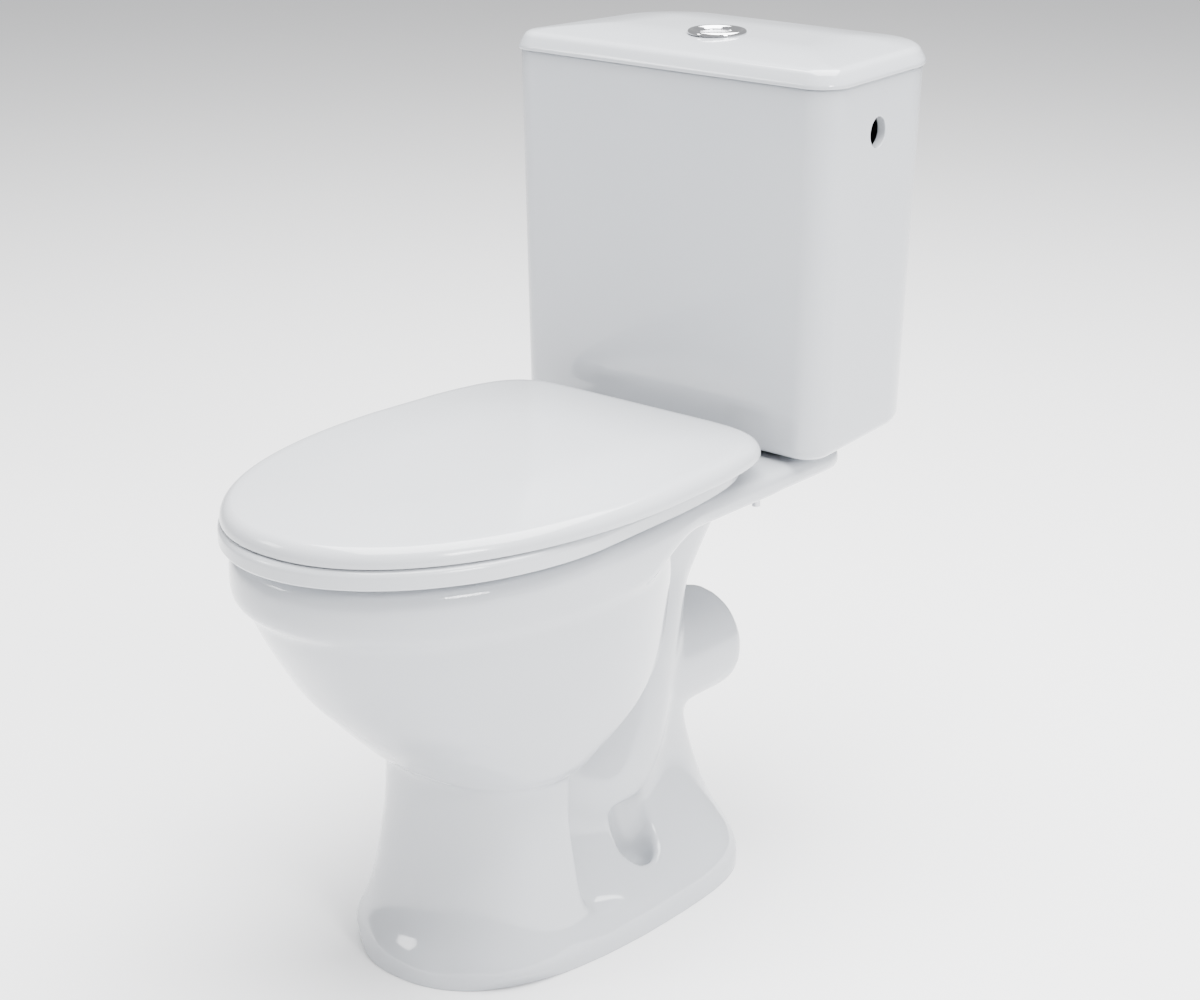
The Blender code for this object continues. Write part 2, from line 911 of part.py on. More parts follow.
def add_pivot_ears(shank, pivot_x):
    """Two ears on the valve's head that hold the float arm's pivot."""
    for side in (-1, 1):
        x = pivot_x + side * 0.0055
        low = (x - 0.0015, INLET_Y - 0.006, INLET_Z - 0.006)
        high = (x + 0.0015, INLET_Y + 0.006, INLET_Z + 0.006)
        join(shank, box(f"add_ear_{side + 1}", low, high, group=CUTTERS))
    low = (pivot_x - 0.0070, INLET_Y - 0.006, INLET_Z + 0.0045)
    high = (pivot_x + 0.0110, INLET_Y + 0.006, INLET_Z + 0.0080)
    join(shank, box("add_ear_roof", low, high, group=CUTTERS))
    low = (pivot_x - 0.0100, INLET_Y, INLET_Z)
    high = (pivot_x + 0.0100, INLET_Y, INLET_Z)
    join(shank, cylinder("add_ear_pin", 0.0015, low, high, group=CUTTERS, axis="X", sides=12))


def build_float(pivot_x):
    """The float arm, which swings up as the water rises, and its float."""
    arm = cylinder(
        "float_arm",
        0.0033,
        (pivot_x - 0.0032, INLET_Y, INLET_Z),
        (pivot_x + 0.0032, INLET_Y, INLET_Z),
        white_plastic("arm_plastic"),
        axis="X",
        sides=24,
    )
    reach = box(
        "add_arm",
        (pivot_x - 0.0020, INLET_Y + 0.0010, INLET_Z - 0.0620),
        (pivot_x + 0.0020, INLET_Y + 0.0060, INLET_Z + 0.0005),
        group=CUTTERS,
    )
    low, high = (pivot_x - 0.01, INLET_Y, INLET_Z), (pivot_x + 0.01, INLET_Y, INLET_Z)
    join(arm, reach)
    cut(arm, cylinder("cut_arm", 0.00165, low, high, group=CUTTERS, axis="X", sides=12))
    bob = cylinder(
        "float_cup",
        0.0170,
        (pivot_x, INLET_Y + 0.004, INLET_Z - 0.1250),
        (pivot_x, INLET_Y + 0.004, INLET_Z - 0.0623),
        material("float_plastic", (0.30, 0.42, 0.60), 0.35),
    )
    hollow = cylinder(
        "cut_cup",
        0.0152,
        (pivot_x, INLET_Y + 0.004, INLET_Z - 0.1300),
        (pivot_x, INLET_Y + 0.004, INLET_Z - 0.0645),
        group=CUTTERS,
    )
    cut(bob, hollow)
    hang("float_axis", (pivot_x, INLET_Y, INLET_Z), arm, bob)
    return [arm, bob]


# Fixings
def build_cistern_bolts():
    """The two bolts that clamp the cistern to the deck, with wing nuts."""
    made = []
    for side, sign in (("right", 1), ("left", -1)):
        x = sign * BOLT_X
        bolt = turned(
            f"cistern_bolt_{side}",
            [
                (0.0, 0.3350),
                (0.0038, 0.3350),
                (0.0038, 0.4208),
                (0.0090, 0.4208),
                (0.0085, 0.4250),
                (0.0, 0.4262),
            ],
            (x, VALVE_Y, 0),
            steel(f"cistern_bolt_{side}_steel"),
            sides=24,
        )
        washer = ring(
            f"cistern_washer_{side}",
            0.0125,
            0.0041,
            CISTERN_FLOOR + CLEAR,
            0.4205,
            (x, VALVE_Y),
            rubber(f"cistern_washer_{side}_rubber"),
            sides=24,
        )
        pad = ring(
            f"cistern_pad_{side}",
            0.0120,
            0.0058,
            DECK_TOP + CLEAR,
            CISTERN_BOTTOM - CLEAR,
            (x, VALVE_Y),
            rubber(f"cistern_pad_{side}_rubber"),
            sides=24,
        )
        nut = wing_nut(f"cistern_wing_nut_{side}", x, VALVE_Y, 0.3640, DECK_UNDER - CLEAR, 0.0041)
        made += [bolt, washer, pad, nut]
    return made


def wing_nut(name, x, y, low, high, bore):
    """A plastic wing nut with two flat wings."""
    nut = ring(name, 0.0090, bore, low, high, (x, y), white_plastic(f"{name}_plastic"), sides=16)
    wings = box(
        f"add_wings_{name}",
        (x - 0.002, y - 0.0180, low - 0.010),
        (x + 0.002, y + 0.0180, high - 0.004),
        group=CUTTERS,
    )
    bore_low, bore_high = (x, y, low - 0.02), (x, y, high + 0.02)
    join(nut, wings)
    cut(nut, cylinder(f"cut_wings_{name}", bore + 0.0001, bore_low, bore_high, group=CUTTERS, sides=16))
    return nut


def build_hinges():
    """Chromed hinge posts bolted to the deck, with their pins and nuts."""
    made = []
    for side, sign in (("right", 1), ("left", -1)):
        x = sign * HINGE_X
        post = turned(
            f"hinge_post_{side}",
            [
                (0.0, 0.3420),
                (0.0039, 0.3420),
                (0.0039, DECK_TOP + CLEAR),
                (0.0125, DECK_TOP + CLEAR),
                (0.0125, 0.4015),
                (0.0105, 0.4030),
                (0.0080, 0.4040),
                (0.0080, HINGE_Z),
                (0.0, HINGE_Z),
            ],
            (x, HINGE_Y, 0),
            chrome(f"hinge_post_{side}_chrome"),
            sides=20,
        )
        low, high = (x - 0.0095, HINGE_Y, HINGE_Z), (x + 0.0095, HINGE_Y, HINGE_Z)
        join(post, cylinder(f"add_barrel_{side}", 0.0090, low, high, group=CUTTERS, axis="X"))
        low, high = (x - 0.02, HINGE_Y, HINGE_Z), (x + 0.02, HINGE_Y, HINGE_Z)
        cut(post, cylinder(f"cut_barrel_{side}", 0.00405, low, high, group=CUTTERS, axis="X", sides=24))
        low, high = (x - 0.0200, HINGE_Y, HINGE_Z), (x + 0.0200, HINGE_Y, HINGE_Z)
        pin = cylinder(
            f"hinge_pin_{side}", 0.0040, low, high, steel(f"hinge_pin_{side}_steel"), axis="X", sides=24,
        )
        washer = ring(
            f"hinge_washer_{side}",
            0.0105,
            0.0043,
            0.3740,
            DECK_UNDER - CLEAR,
            (x, HINGE_Y),
            rubber(f"hinge_washer_{side}_rubber"),
            sides=24,
        )
        nut = wing_nut(f"hinge_wing_nut_{side}", x, HINGE_Y, 0.3600, 0.3737, 0.0042)
        made += [post, pin, washer, nut]
    return made


# Seat and lid
def seat_plan(inset=0.0):
    """The seat's outer outline."""
    return outline(SEAT_HALF - inset, SEAT_FRONT + inset, SEAT_BACK - inset, -0.130, 2.0, 7.0, 0.13)


def cover_plan(inset=0.0):
    """The lid's outline, a little wider than the seat."""
    return outline(COVER_HALF - inset, COVER_FRONT + inset, COVER_BACK - inset, -0.061, 2.16, 5.5, 0.13)


def ear(name, x, half, front, low, high):
    """A hinge ear: a round eye on the hinge axis with an arm to the front."""
    a, b = (x - half, HINGE_Y, HINGE_Z), (x + half, HINGE_Y, HINGE_Z)
    eye = cylinder(f"add_{name}_eye", 0.0088, a, b, group=CUTTERS, axis="X")
    arm = box(f"add_{name}_arm", (x - half, front, low), (x + half, HINGE_Y, high), group=CUTTERS)
    bore = cylinder(
        f"cut_{name}_bore",
        0.00405,
        (x - 0.02, HINGE_Y, HINGE_Z),
        (x + 0.02, HINGE_Y, HINGE_Z),
        group=CUTTERS,
        axis="X",
        sides=24,
    )
    return eye, arm, bore


def build_seat():
    """The seat ring with its two inner hinge ears and four buffers."""
    levels = [
        (SEAT_UNDER, 0.0025),
        (SEAT_UNDER + 0.002, 0.0),
        (0.4135, 0.0),
        (0.4170, 0.0015),
        (SEAT_TOP, 0.0050),
    ]
    seat = loft("seat_ring", [(z, seat_plan(inset)) for z, inset in levels], thermoset("seat_plastic"))

    def hole(height, grow):
        return height, outline(0.098 + grow, -0.283 - grow, -0.030 + grow, -0.150, 2.1, 2.6)

    cut(
        seat,
        loft(
            "cut_seat",
            [hole(0.390, 0.004), hole(0.404, 0.002), hole(0.412, 0.0), hole(0.430, 0.006)],
            group=CUTTERS,
        ),
    )
    for side, sign in (("right", 1), ("left", -1)):
        x = sign * HINGE_X
        low, high = (x - 0.0215, 0.0860, 0.390), (x + 0.0215, 0.140, 0.430)
        cut(seat, box(f"cut_seat_notch_{side}", low, high, group=CUTTERS))
        eye, arm, bore = ear(f"seat_{side}", x - sign * 0.0150, 0.0050, 0.0700, 0.4095, 0.4180)
        join(seat, arm, eye)
        cut(seat, bore)
    return seat, build_buffers()


def build_buffers():
    """Small cushions under the seat and under the lid."""
    made = []
    for side, sign in (("right", 1), ("left", -1)):
        for row, x, y in (("front", 0.048, -0.299), ("rear", 0.131, -0.095)):
            low, high = RIM_TOP + CLEAR, SEAT_UNDER - CLEAR
            finish = material(f"seat_buffer_{row}_{side}_plastic", (0.80, 0.80, 0.80), 0.5)
            centre = (sign * x, y)
            made.append(
                cylinder(
                    f"seat_buffer_{row}_{side}",
                    0.0075,
                    (*centre, low),
                    (*centre, high),
                    finish,
                    sides=24,
                ),
            )
        finish = material(f"cover_buffer_{side}_plastic", (0.80, 0.80, 0.80), 0.5)
        centre = (sign * 0.070, -0.295)
        made.append(
            cylinder(
                f"cover_buffer_{side}",
                0.0060,
                (*centre, SEAT_TOP + CLEAR),
                (*centre, 0.4297),
                finish,
                sides=24,
            ),
        )
    return made


def build_cover():
    """The closing lid: a shallow crowned shell with its outer hinge ears."""
    edge = COVER_EDGE
    levels = [(COVER_UNDER, 0.0010), (0.4215, 0.0)]
    for i in range(5):
        turn = math.radians(22.5 * i)
        levels.append((0.4225 + edge * math.sin(turn), edge * (1 - math.cos(turn))))
    levels += [(0.4378, 0.030), (0.4395, 0.060), (0.4405, 0.095)]
    cover = loft("seat_lid", [(z, cover_plan(inset)) for z, inset in levels], thermoset("cover_plastic"))
    shell = [(0.410, 0.0090), (0.426, 0.0100), (0.430, 0.0150)]
    cut(cover, loft("cut_cover", [(z, cover_plan(inset)) for z, inset in shell], group=CUTTERS))
    for side, sign in (("right", 1), ("left", -1)):
        x = sign * HINGE_X
        low, high = (x - 0.0215, 0.0860, 0.400), (x + 0.0215, 0.140, 0.4315)
        cut(cover, box(f"cut_cover_notch_{side}", low, high, group=CUTTERS))
        eye, arm, bore = ear(f"cover_{side}", x + sign * 0.0150, 0.0050, 0.0830, 0.4200, 0.4335)
        join(cover, arm, eye)
        cut(cover, bore)
    return cover


def main():
    """Build the toilet."""
    clear_scene()
    build_pan()
    build_cistern()
    build_cistern_lid()
    build_button()
    build_flush_valve()
    build_fill_valve()
    build_cistern_bolts()
    build_hinges()
    seat, buffers = build_seat()
    cover = build_cover()
    under_lid = [item for item in buffers if item.name.startswith("cover_")]
    under_seat = [item for item in buffers if item.name.startswith("seat_")]
    axis = (0, HINGE_Y, HINGE_Z)
    seat_axis = hang("seat_hinge_axis", axis, seat, *under_seat)
    cover_axis = hang("lid_hinge_axis", axis, cover, *under_lid)
    cover_axis.parent = seat_axis
    cover_axis.location = (0, 0, 0)


main()
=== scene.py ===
"""Close coupled toilet: glazed ware, moulded seat and chrome round the frame.

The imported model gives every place. Heights run up from the floor along +Z,
the bowl's nose points to -Y and the mid-plane is X = 0, all in metres.
"""

import json
import logging
import math
from dataclasses import dataclass, field
from enum import Enum
from typing import Iterable, Sequence

import bmesh
import bpy
from mathutils import Matrix, Vector

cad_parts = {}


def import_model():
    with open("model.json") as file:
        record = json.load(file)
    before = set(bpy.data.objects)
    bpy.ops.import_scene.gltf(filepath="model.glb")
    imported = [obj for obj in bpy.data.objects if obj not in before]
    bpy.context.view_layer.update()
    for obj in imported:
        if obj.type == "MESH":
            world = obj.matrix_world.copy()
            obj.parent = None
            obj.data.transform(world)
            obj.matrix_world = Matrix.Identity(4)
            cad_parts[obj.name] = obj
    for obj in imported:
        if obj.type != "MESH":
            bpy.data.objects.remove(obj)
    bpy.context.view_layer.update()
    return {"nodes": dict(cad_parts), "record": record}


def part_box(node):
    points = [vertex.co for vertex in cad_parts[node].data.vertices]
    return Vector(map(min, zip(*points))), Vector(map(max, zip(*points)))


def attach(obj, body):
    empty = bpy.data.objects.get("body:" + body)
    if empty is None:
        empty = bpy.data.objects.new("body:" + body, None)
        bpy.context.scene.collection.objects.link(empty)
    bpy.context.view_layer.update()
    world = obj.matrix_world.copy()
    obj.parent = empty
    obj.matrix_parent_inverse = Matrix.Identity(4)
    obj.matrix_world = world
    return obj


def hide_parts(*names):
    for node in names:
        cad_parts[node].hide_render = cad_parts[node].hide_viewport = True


LOG = logging.getLogger("toilet")
PIN_BORE = 0.00405
Point = tuple[float, float]
Place = tuple[float, float, float]


class Body(Enum):
    """The moving bodies that pieces ride on."""

    FRAME = "frame"
    SEAT = "seat"
    COVER = "cover"
    FULL_PLATE = "full_plate"
    HALF_PLATE = "half_plate"
    FLUSH_LIFT = "flush_lift"
    FLOAT = "float"


class Axis(Enum):
    """The line that a round piece is turned about."""

    X = "X"
    Y = "Y"
    Z = "Z"

    def turn(self) -> Matrix:
        """Return the rotation that lays a Z-turned piece along this axis."""
        if self is Axis.X:
            return Matrix.Rotation(math.pi / 2, 4, "Y")
        if self is Axis.Y:
            return Matrix.Rotation(-math.pi / 2, 4, "X")
        return Matrix.Identity(4)


# ---------------------------------------------------------------- finishes
class Tree:
    """A short way to fill a node tree."""

    def __init__(self, tree: bpy.types.NodeTree) -> None:
        """Keep the tree.

        Args:
            tree: the node tree to fill.
        """
        self.tree = tree

    def add(self, kind: str, **settings: object) -> bpy.types.Node:
        """Add a node and set its own properties.

        Args:
            kind: the node's type name.
            settings: properties of the node, by name.

        Returns:
            The new node.
        """
        node = self.tree.nodes.new(kind)
        for name, value in settings.items():
            setattr(node, name, value)
        return node

    def link(self, *rows: tuple[bpy.types.Node, str, bpy.types.Node, str]) -> None:
        """Join sockets.

        Args:
            rows: a node, its output, the next node and its input.
        """
        for source, out, target, into in rows:
            self.tree.links.new(source.outputs[out], target.inputs[into])


def fill(node: bpy.types.Node, values: dict[str, object]) -> None:
    """Set a node's inputs by name."""
    for label, value in values.items():
        node.inputs[label].default_value = value


def relief_group() -> bpy.types.NodeTree:
    """Make the shared relief: slow waves, fine grain and a soft mask.

    Returns:
        The node group, made once.
    """
    name = "slow_and_fine_relief"
    if name in bpy.data.node_groups:
        return bpy.data.node_groups[name]
    group = bpy.data.node_groups.new(name, "ShaderNodeTree")
    for label, start in (
        ("Wave Scale", 14.0), ("Wave Depth", 0.0004), ("Grain Scale", 300.0), ("Grain Depth", 0.00002),
    ):
        socket = group.interface.new_socket(label, in_out="INPUT", socket_type="NodeSocketFloat")
        socket.default_value = start
    group.interface.new_socket("Normal", in_out="OUTPUT", socket_type="NodeSocketVector")
    group.interface.new_socket("Mask", in_out="OUTPUT", socket_type="NodeSocketFloat")
    tree = Tree(group)
    given = tree.add("NodeGroupInput")
    place = tree.add("ShaderNodeTexCoord")
    wave = tree.add("ShaderNodeTexNoise")
    grain = tree.add("ShaderNodeTexNoise")
    slow = tree.add("ShaderNodeBump")
    fine = tree.add("ShaderNodeBump")
    out = tree.add("NodeGroupOutput")
    fill(wave, {"Detail": 2.0, "Roughness": 0.35})
    fill(grain, {"Detail": 3.0})
    for noise, bump, label in ((wave, slow, "Wave"), (grain, fine, "Grain")):
        fill(bump, {"Strength": 1.0})
        tree.link(
            (place, "Object", noise, "Vector"),
            (given, f"{label} Scale", noise, "Scale"),
            (given, f"{label} Depth", bump, "Distance"),
            (noise, "Fac", bump, "Height"),
        )
    tree.link(
        (slow, "Normal", fine, "Normal"), (fine, "Normal", out, "Normal"), (wave, "Fac", out, "Mask"),
    )
    return group


@dataclass(frozen=True)
class Finish:
    """A surface finish with a two-tone colour, sheen and fine relief."""

    name: str
    light: tuple[float, float, float]
    deep: tuple[float, float, float]
    smooth: float
    dull: float
    metallic: float = 0.0
    coat: float = 0.0
    coat_rough: float = 0.03
    wave_scale: float = 14.0
    wave_depth: float = 0.0003
    grain_scale: float = 300.0
    grain_depth: float = 0.00002
    index: float = 1.5
    mask: tuple[float, float] = (0.30, 0.70)

    def material(self) -> bpy.types.Material:
        """Return this finish as a material, made once."""
        if self.name in bpy.data.materials:
            return bpy.data.materials[self.name]
        made = bpy.data.materials.new(self.name)
        made.use_nodes = True
        tree = Tree(made.node_tree)
        shader = made.node_tree.nodes["Principled BSDF"]
        fill(shader, {
            "Metallic": self.metallic,
            "IOR": self.index,
            "Coat Weight": self.coat,
            "Coat Roughness": self.coat_rough,
        })
        relief = tree.add("ShaderNodeGroup", node_tree=relief_group())
        fill(relief, {
            "Wave Scale": self.wave_scale,
            "Wave Depth": self.wave_depth,
            "Grain Scale": self.grain_scale,
            "Grain Depth": self.grain_depth,
        })
        colour = tree.add("ShaderNodeMix", data_type="RGBA")
        fill(colour, {"A": (*self.deep, 1.0), "B": (*self.light, 1.0)})
        spread = tree.add("ShaderNodeMapRange")
        low, high = self.mask
        fill(spread, {"From Min": low, "From Max": high, "To Min": self.dull, "To Max": self.smooth})
        tree.link(
            (relief, "Mask", colour, "Factor"),
            (relief, "Mask", spread, "Value"),
            (colour, "Result", shader, "Base Color"),
            (spread, "Result", shader, "Roughness"),
            (relief, "Normal", shader, "Normal"),
        )
        return made


GLAZE = Finish(
    "white_glaze", (0.520, 0.538, 0.566), (0.494, 0.512, 0.542), 0.10, 0.17,
    coat=0.45, wave_scale=9.0, wave_depth=0.0009, grain_scale=260.0, grain_depth=0.00001,
)
SEAT_RESIN = Finish(
    "white_seat_resin", (0.575, 0.591, 0.616), (0.552, 0.569, 0.596), 0.13, 0.20,
    coat=0.35, coat_rough=0.06,
    wave_scale=11.0, wave_depth=0.0004, grain_scale=700.0, grain_depth=0.000012,
)
BRIGHT_CHROME = Finish(
    "bright_chrome", (0.74, 0.745, 0.76), (0.66, 0.665, 0.68), 0.06, 0.14,
    metallic=1.0, wave_scale=60.0, wave_depth=0.00005, grain_scale=1800.0, grain_depth=0.000004,
)
SATIN_PLATE = Finish(
    "satin_push_plate", (0.56, 0.56, 0.575), (0.47, 0.47, 0.485), 0.22, 0.36,
    metallic=1.0, wave_scale=80.0, wave_depth=0.00004, grain_scale=2200.0, grain_depth=0.00001,
)
ZINC = Finish(
    "zinc_plated_steel", (0.62, 0.62, 0.64), (0.48, 0.48, 0.52), 0.24, 0.42,
    metallic=1.0, wave_scale=90.0, wave_depth=0.0001, grain_scale=1500.0, grain_depth=0.00002,
)
VALVE_PLASTIC = Finish(
    "white_valve_plastic", (0.74, 0.75, 0.75), (0.68, 0.69, 0.69), 0.32, 0.46,
    wave_scale=30.0, wave_depth=0.0001, grain_scale=900.0, grain_depth=0.00003,
)
FLOAT_PLASTIC = Finish(
    "blue_float_plastic", (0.20, 0.34, 0.56), (0.15, 0.27, 0.48), 0.28, 0.40,
    wave_scale=30.0, wave_depth=0.0001, grain_scale=900.0, grain_depth=0.00003,
)
SEAL_RUBBER = Finish(
    "black_seal_rubber", (0.035, 0.035, 0.037), (0.020, 0.020, 0.022), 0.60, 0.80,
    wave_scale=40.0, wave_depth=0.0002, grain_scale=1200.0, grain_depth=0.00006,
)
CUSHION = Finish(
    "milky_buffer_plastic", (0.72, 0.72, 0.73), (0.66, 0.66, 0.67), 0.42, 0.58,
    wave_scale=40.0, wave_depth=0.0001, grain_scale=1000.0, grain_depth=0.00003,
)


# ---------------------------------------------------------------- shapes
@dataclass(frozen=True)
class Egg:
    """An egg-shaped level: blunt or round at each end, on the mid-plane."""

    height: float
    half: float
    front: float
    back: float
    widest: float
    nose: float = 2.1
    tail: float = 2.0
    narrow: float = 0.0

    def outline(self, count: int) -> list[Place]:
        """Return the level's points from the nose round to the back.

        Args:
            count: how many points.
        """
        points = []
        for i in range(count):
            turn = 2 * math.pi * i / count
            side, along = math.sin(turn), -math.cos(turn)
            power = self.nose if along < 0 else self.tail
            reach = (self.widest - self.front) if along < 0 else (self.back - self.widest)
            share = abs(along) ** (2 / power)
            x = self.half * math.copysign(abs(side) ** (2 / power), side)
            if along > 0:
                x *= 1 - self.narrow * share * share
            points.append((x, self.widest + math.copysign(reach * share, along), self.height))
        return points

    def values(self) -> tuple[float, ...]:
        """Return the level's sizes in field order."""
        return (
            self.height, self.half, self.front, self.back, self.widest, self.nose, self.tail, self.narrow,
        )


@dataclass(frozen=True)
class Slab:
    """A level with a flat front and back and its own corner radii."""

    height: float
    front: float
    back: float
    half_front: float
    half_back: float
    r_front: float
    r_back: float

    def outline(self, count: int) -> list[Place]:
        """Return the level's points anticlockwise from the front right.

        Args:
            count: how many points, a multiple of four.
        """
        steps = count // 4 - 1
        corners = (
            (self.half_front - self.r_front, self.front + self.r_front, self.r_front, -90),
            (self.half_back - self.r_back, self.back - self.r_back, self.r_back, 0),
        )
        right = []
        for x, y, radius, start in corners:
            for i in range(steps + 1):
                turn = math.radians(start + 90 * i / steps)
                right.append((x + radius * math.cos(turn), y + radius * math.sin(turn), self.height))
        return right + [(-x, y, z) for x, y, z in reversed(right)]


@dataclass(frozen=True)
class Ball:
    """A round level anywhere in the plan."""

    x: float
    y: float
    height: float
    radius: float

    def outline(self, count: int) -> list[Place]:
        """Return the level's points in order.

        Args:
            count: how many points.
        """
        turns = [2 * math.pi * i / count for i in range(count)]
        return [(
            self.x + self.radius * math.cos(t), self.y + self.radius * math.sin(t), self.height,
        ) for t in turns]


def arc(low: float, high: float, steps: int, first: int = 0, last: int | None = None) -> list[Point]:
    """Return the sine and cosine of evenly spaced angles.

    Args:
        low: the angle at step 0, in degrees.
        high: the angle at the last step, in degrees.
        steps: how many steps there are.
        first: the first step that is returned.
        last: the last one, if not the very last.
    """
    stop = steps if last is None else last
    turns = [math.radians(low + (high - low) * i / steps) for i in range(first, stop + 1)]
    return [(math.sin(turn), math.cos(turn)) for turn in turns]


def crown(low: float, inset: float, top: float, run: float, steps: int) -> list[Point]:
    """Return the (height, inset) pairs of a lid's slow rise to its crown.

    Args:
        low: the height it starts from.
        inset: the inset it starts from.
        top: the crown's height.
        run: how much further in the last level stands.
        steps: how many levels there are.
    """
    shares = [i / steps for i in range(1, steps + 1)]
    return [(low + (top - low) * math.sin(share * math.pi / 2), inset + run * share) for share in shares]


def monotone(knots: Sequence[float], values: Sequence[float], at: float) -> float:
    """Read a smooth curve that never overshoots its own points.

    Args:
        knots: rising positions.
        values: the value at each position.
        at: where to read.

    Returns:
        The value there.
    """
    i = max(0, min(len(knots) - 2, sum(1 for k in knots if k <= at) - 1))
    slopes = [(values[k + 1] - values[k]) / (knots[k + 1] - knots[k]) for k in range(len(knots) - 1)]

    def tangent(k: int) -> float:
        """Return the slope of the curve at one knot."""
        if k == 0 or k == len(knots) - 1:
            return slopes[min(k, len(slopes) - 1)]
        left, right = slopes[k - 1], slopes[k]
        if left * right <= 0:
            return 0.0
        return 2 * left * right / (left + right)

    width = knots[i + 1] - knots[i]
    t = (at - knots[i]) / width
    a = (1 + 2 * t) * (1 - t) ** 2 * values[i]
    b = t * (1 - t) ** 2 * width * tangent(i)
    c = t * t * (3 - 2 * t) * values[i + 1]
    d = t * t * (t - 1) * width * tangent(i + 1)
    return a + b + c + d


def flowing(levels: Sequence[Egg], step: float) -> list[Egg]:
    """Fill in between a few levels so that the skin flows through them.

    Args:
        levels: the levels that set the shape.
        step: about how far apart the filled levels stand.

    Returns:
        The closer stack of levels.
    """
    rows = [level.values() for level in levels]
    knots = [0.0]
    for low, high in zip(rows, rows[1:]):
        knots.append(knots[-1] + max(1e-4, math.dist(low[:4], high[:4])))
    count = max(len(levels), int(knots[-1] / step))
    made = []
    for i in range(count + 1):
        at = knots[-1] * i / count
        made.append(Egg(*(monotone(knots, [row[k] for row in rows], at) for k in range(8))))
    return made


def tube(work: bmesh.types.BMesh, rings: Sequence[Sequence[Place]]) -> None:
    """Draw one loop of edges out through a row of rings and cap both ends.

    Args:
        work: the mesh that takes the skin.
        rings: rows of points, all with the same count.
    """
    ring = list(bmesh.ops.create_circle(work, cap_ends=True, segments=len(rings[0]), radius=1.0)["verts"])
    for vert, place in zip(ring, rings[0]):
        vert.co = place
    for row in rings[1:]:
        edges = [work.edges.get((ring[i - 1], ring[i])) for i in range(len(ring))]
        grown = bmesh.ops.extrude_edge_only(work, edges=edges)["geom"]
        fresh = {item for item in grown if isinstance(item, bmesh.types.BMVert)}
        ring = [
            next(edge.other_vert(vert) for edge in vert.link_edges if edge.other_vert(vert) in fresh)
            for vert in ring
        ]
        for vert, place in zip(ring, row):
            vert.co = place
    rim = [work.edges.get((ring[i - 1], ring[i])) for i in range(len(ring))]
    bmesh.ops.contextual_create(work, geom=rim)


def skin(work: bmesh.types.BMesh, levels: Sequence[Egg | Slab | Ball], count: int) -> None:
    """Draw a stack of levels into one closed skin.

    Args:
        work: the mesh that takes the skin.
        levels: the levels in order, the first and last of them capped.
        count: points round each level.
    """
    tube(work, [level.outline(count) for level in levels])


def round_skin(work: bmesh.types.BMesh, profile: Sequence[Point], place: Matrix, sides: int) -> None:
    """Spin a closed (radius, height) profile into a turned piece.

    Args:
        work: the mesh that takes the piece.
        profile: points of the section, in order.
        place: where the piece stands, and how it lies.
        sides: steps in the full turn.
    """
    verts = [work.verts.new((radius, 0.0, height)) for radius, height in profile]
    pairs = [(verts[i - 1], verts[i]) for i in range(len(verts)) if profile[i - 1][0] + profile[i][0] > 0]
    edges = [work.edges.new(pair) for pair in pairs]
    old = set(work.verts) - set(verts)
    bmesh.ops.spin(
        work,
        geom=verts + edges,
        cent=(0, 0, 0),
        axis=(0, 0, 1),
        angle=2 * math.pi,
        steps=sides,
        use_merge=True,
    )
    made = [vert for vert in work.verts if vert not in old]
    bmesh.ops.remove_doubles(work, verts=made, dist=1e-6)
    made = [vert for vert in work.verts if vert not in old]
    bmesh.ops.transform(work, matrix=place, verts=made)


def bar(
    work: bmesh.types.BMesh, radius: float, low: Place, high: Place, axis: Axis = Axis.Z, sides: int = 48,
) -> None:
    """Add a plain round bar between two points on one axis.

    Args:
        work: the mesh that takes the bar.
        radius: its radius.
        low: one end.
        high: the other end.
        axis: the axis it lies along.
        sides: facets round it.
    """
    start, end = Vector(low), Vector(high)
    place = Matrix.Translation((start + end) / 2) @ axis.turn()
    bmesh.ops.create_cone(
        work,
        cap_ends=True,
        segments=sides,
        radius1=radius,
        radius2=radius,
        depth=(end - start).length,
        matrix=place,
    )


def cross_bar(work: bmesh.types.BMesh, radius: float, middle: Place, reach: float, sides: int) -> None:
    """Add a round bar along X, as long on both sides of its middle."""
    x, y, z = middle
    bar(work, radius, (x - reach, y, z), (x + reach, y, z), Axis.X, sides)


def block(work: bmesh.types.BMesh, low: Place, high: Place) -> None:
    """Add a plain block between two corners."""
    start, end = Vector(low), Vector(high)
    place = Matrix.Translation((start + end) / 2) @ Matrix.Diagonal((*(end - start), 1))
    bmesh.ops.create_cube(work, size=1.0, matrix=place)


def close(work: bmesh.types.BMesh, name: str) -> bpy.types.Mesh:
    """Turn a working mesh into mesh data with outward faces.

    Args:
        work: the finished working mesh, freed here.
        name: the mesh's name.

    Returns:
        The mesh data.
    """
    bmesh.ops.recalc_face_normals(work, faces=work.faces)
    mesh = bpy.data.meshes.new(name)
    work.to_mesh(mesh)
    work.free()
    return mesh


def shown(name: str, mesh: bpy.types.Mesh) -> bpy.types.Object:
    """Link a mesh as an object at the origin."""
    made = bpy.data.objects.new(name, mesh)
    bpy.context.scene.collection.objects.link(made)
    return made


def settled(item: bpy.types.Object) -> bpy.types.Mesh:
    """Apply an object's modifiers, remove the object and return its mesh.

    Args:
        item: the object with its modifiers.

    Returns:
        The mesh with the modifiers in it.
    """
    bpy.context.view_layer.update()
    seen = item.evaluated_get(bpy.context.evaluated_depsgraph_get())
    mesh = bpy.data.meshes.new_from_object(seen)
    bpy.data.objects.remove(item, do_unlink=True)
    return mesh


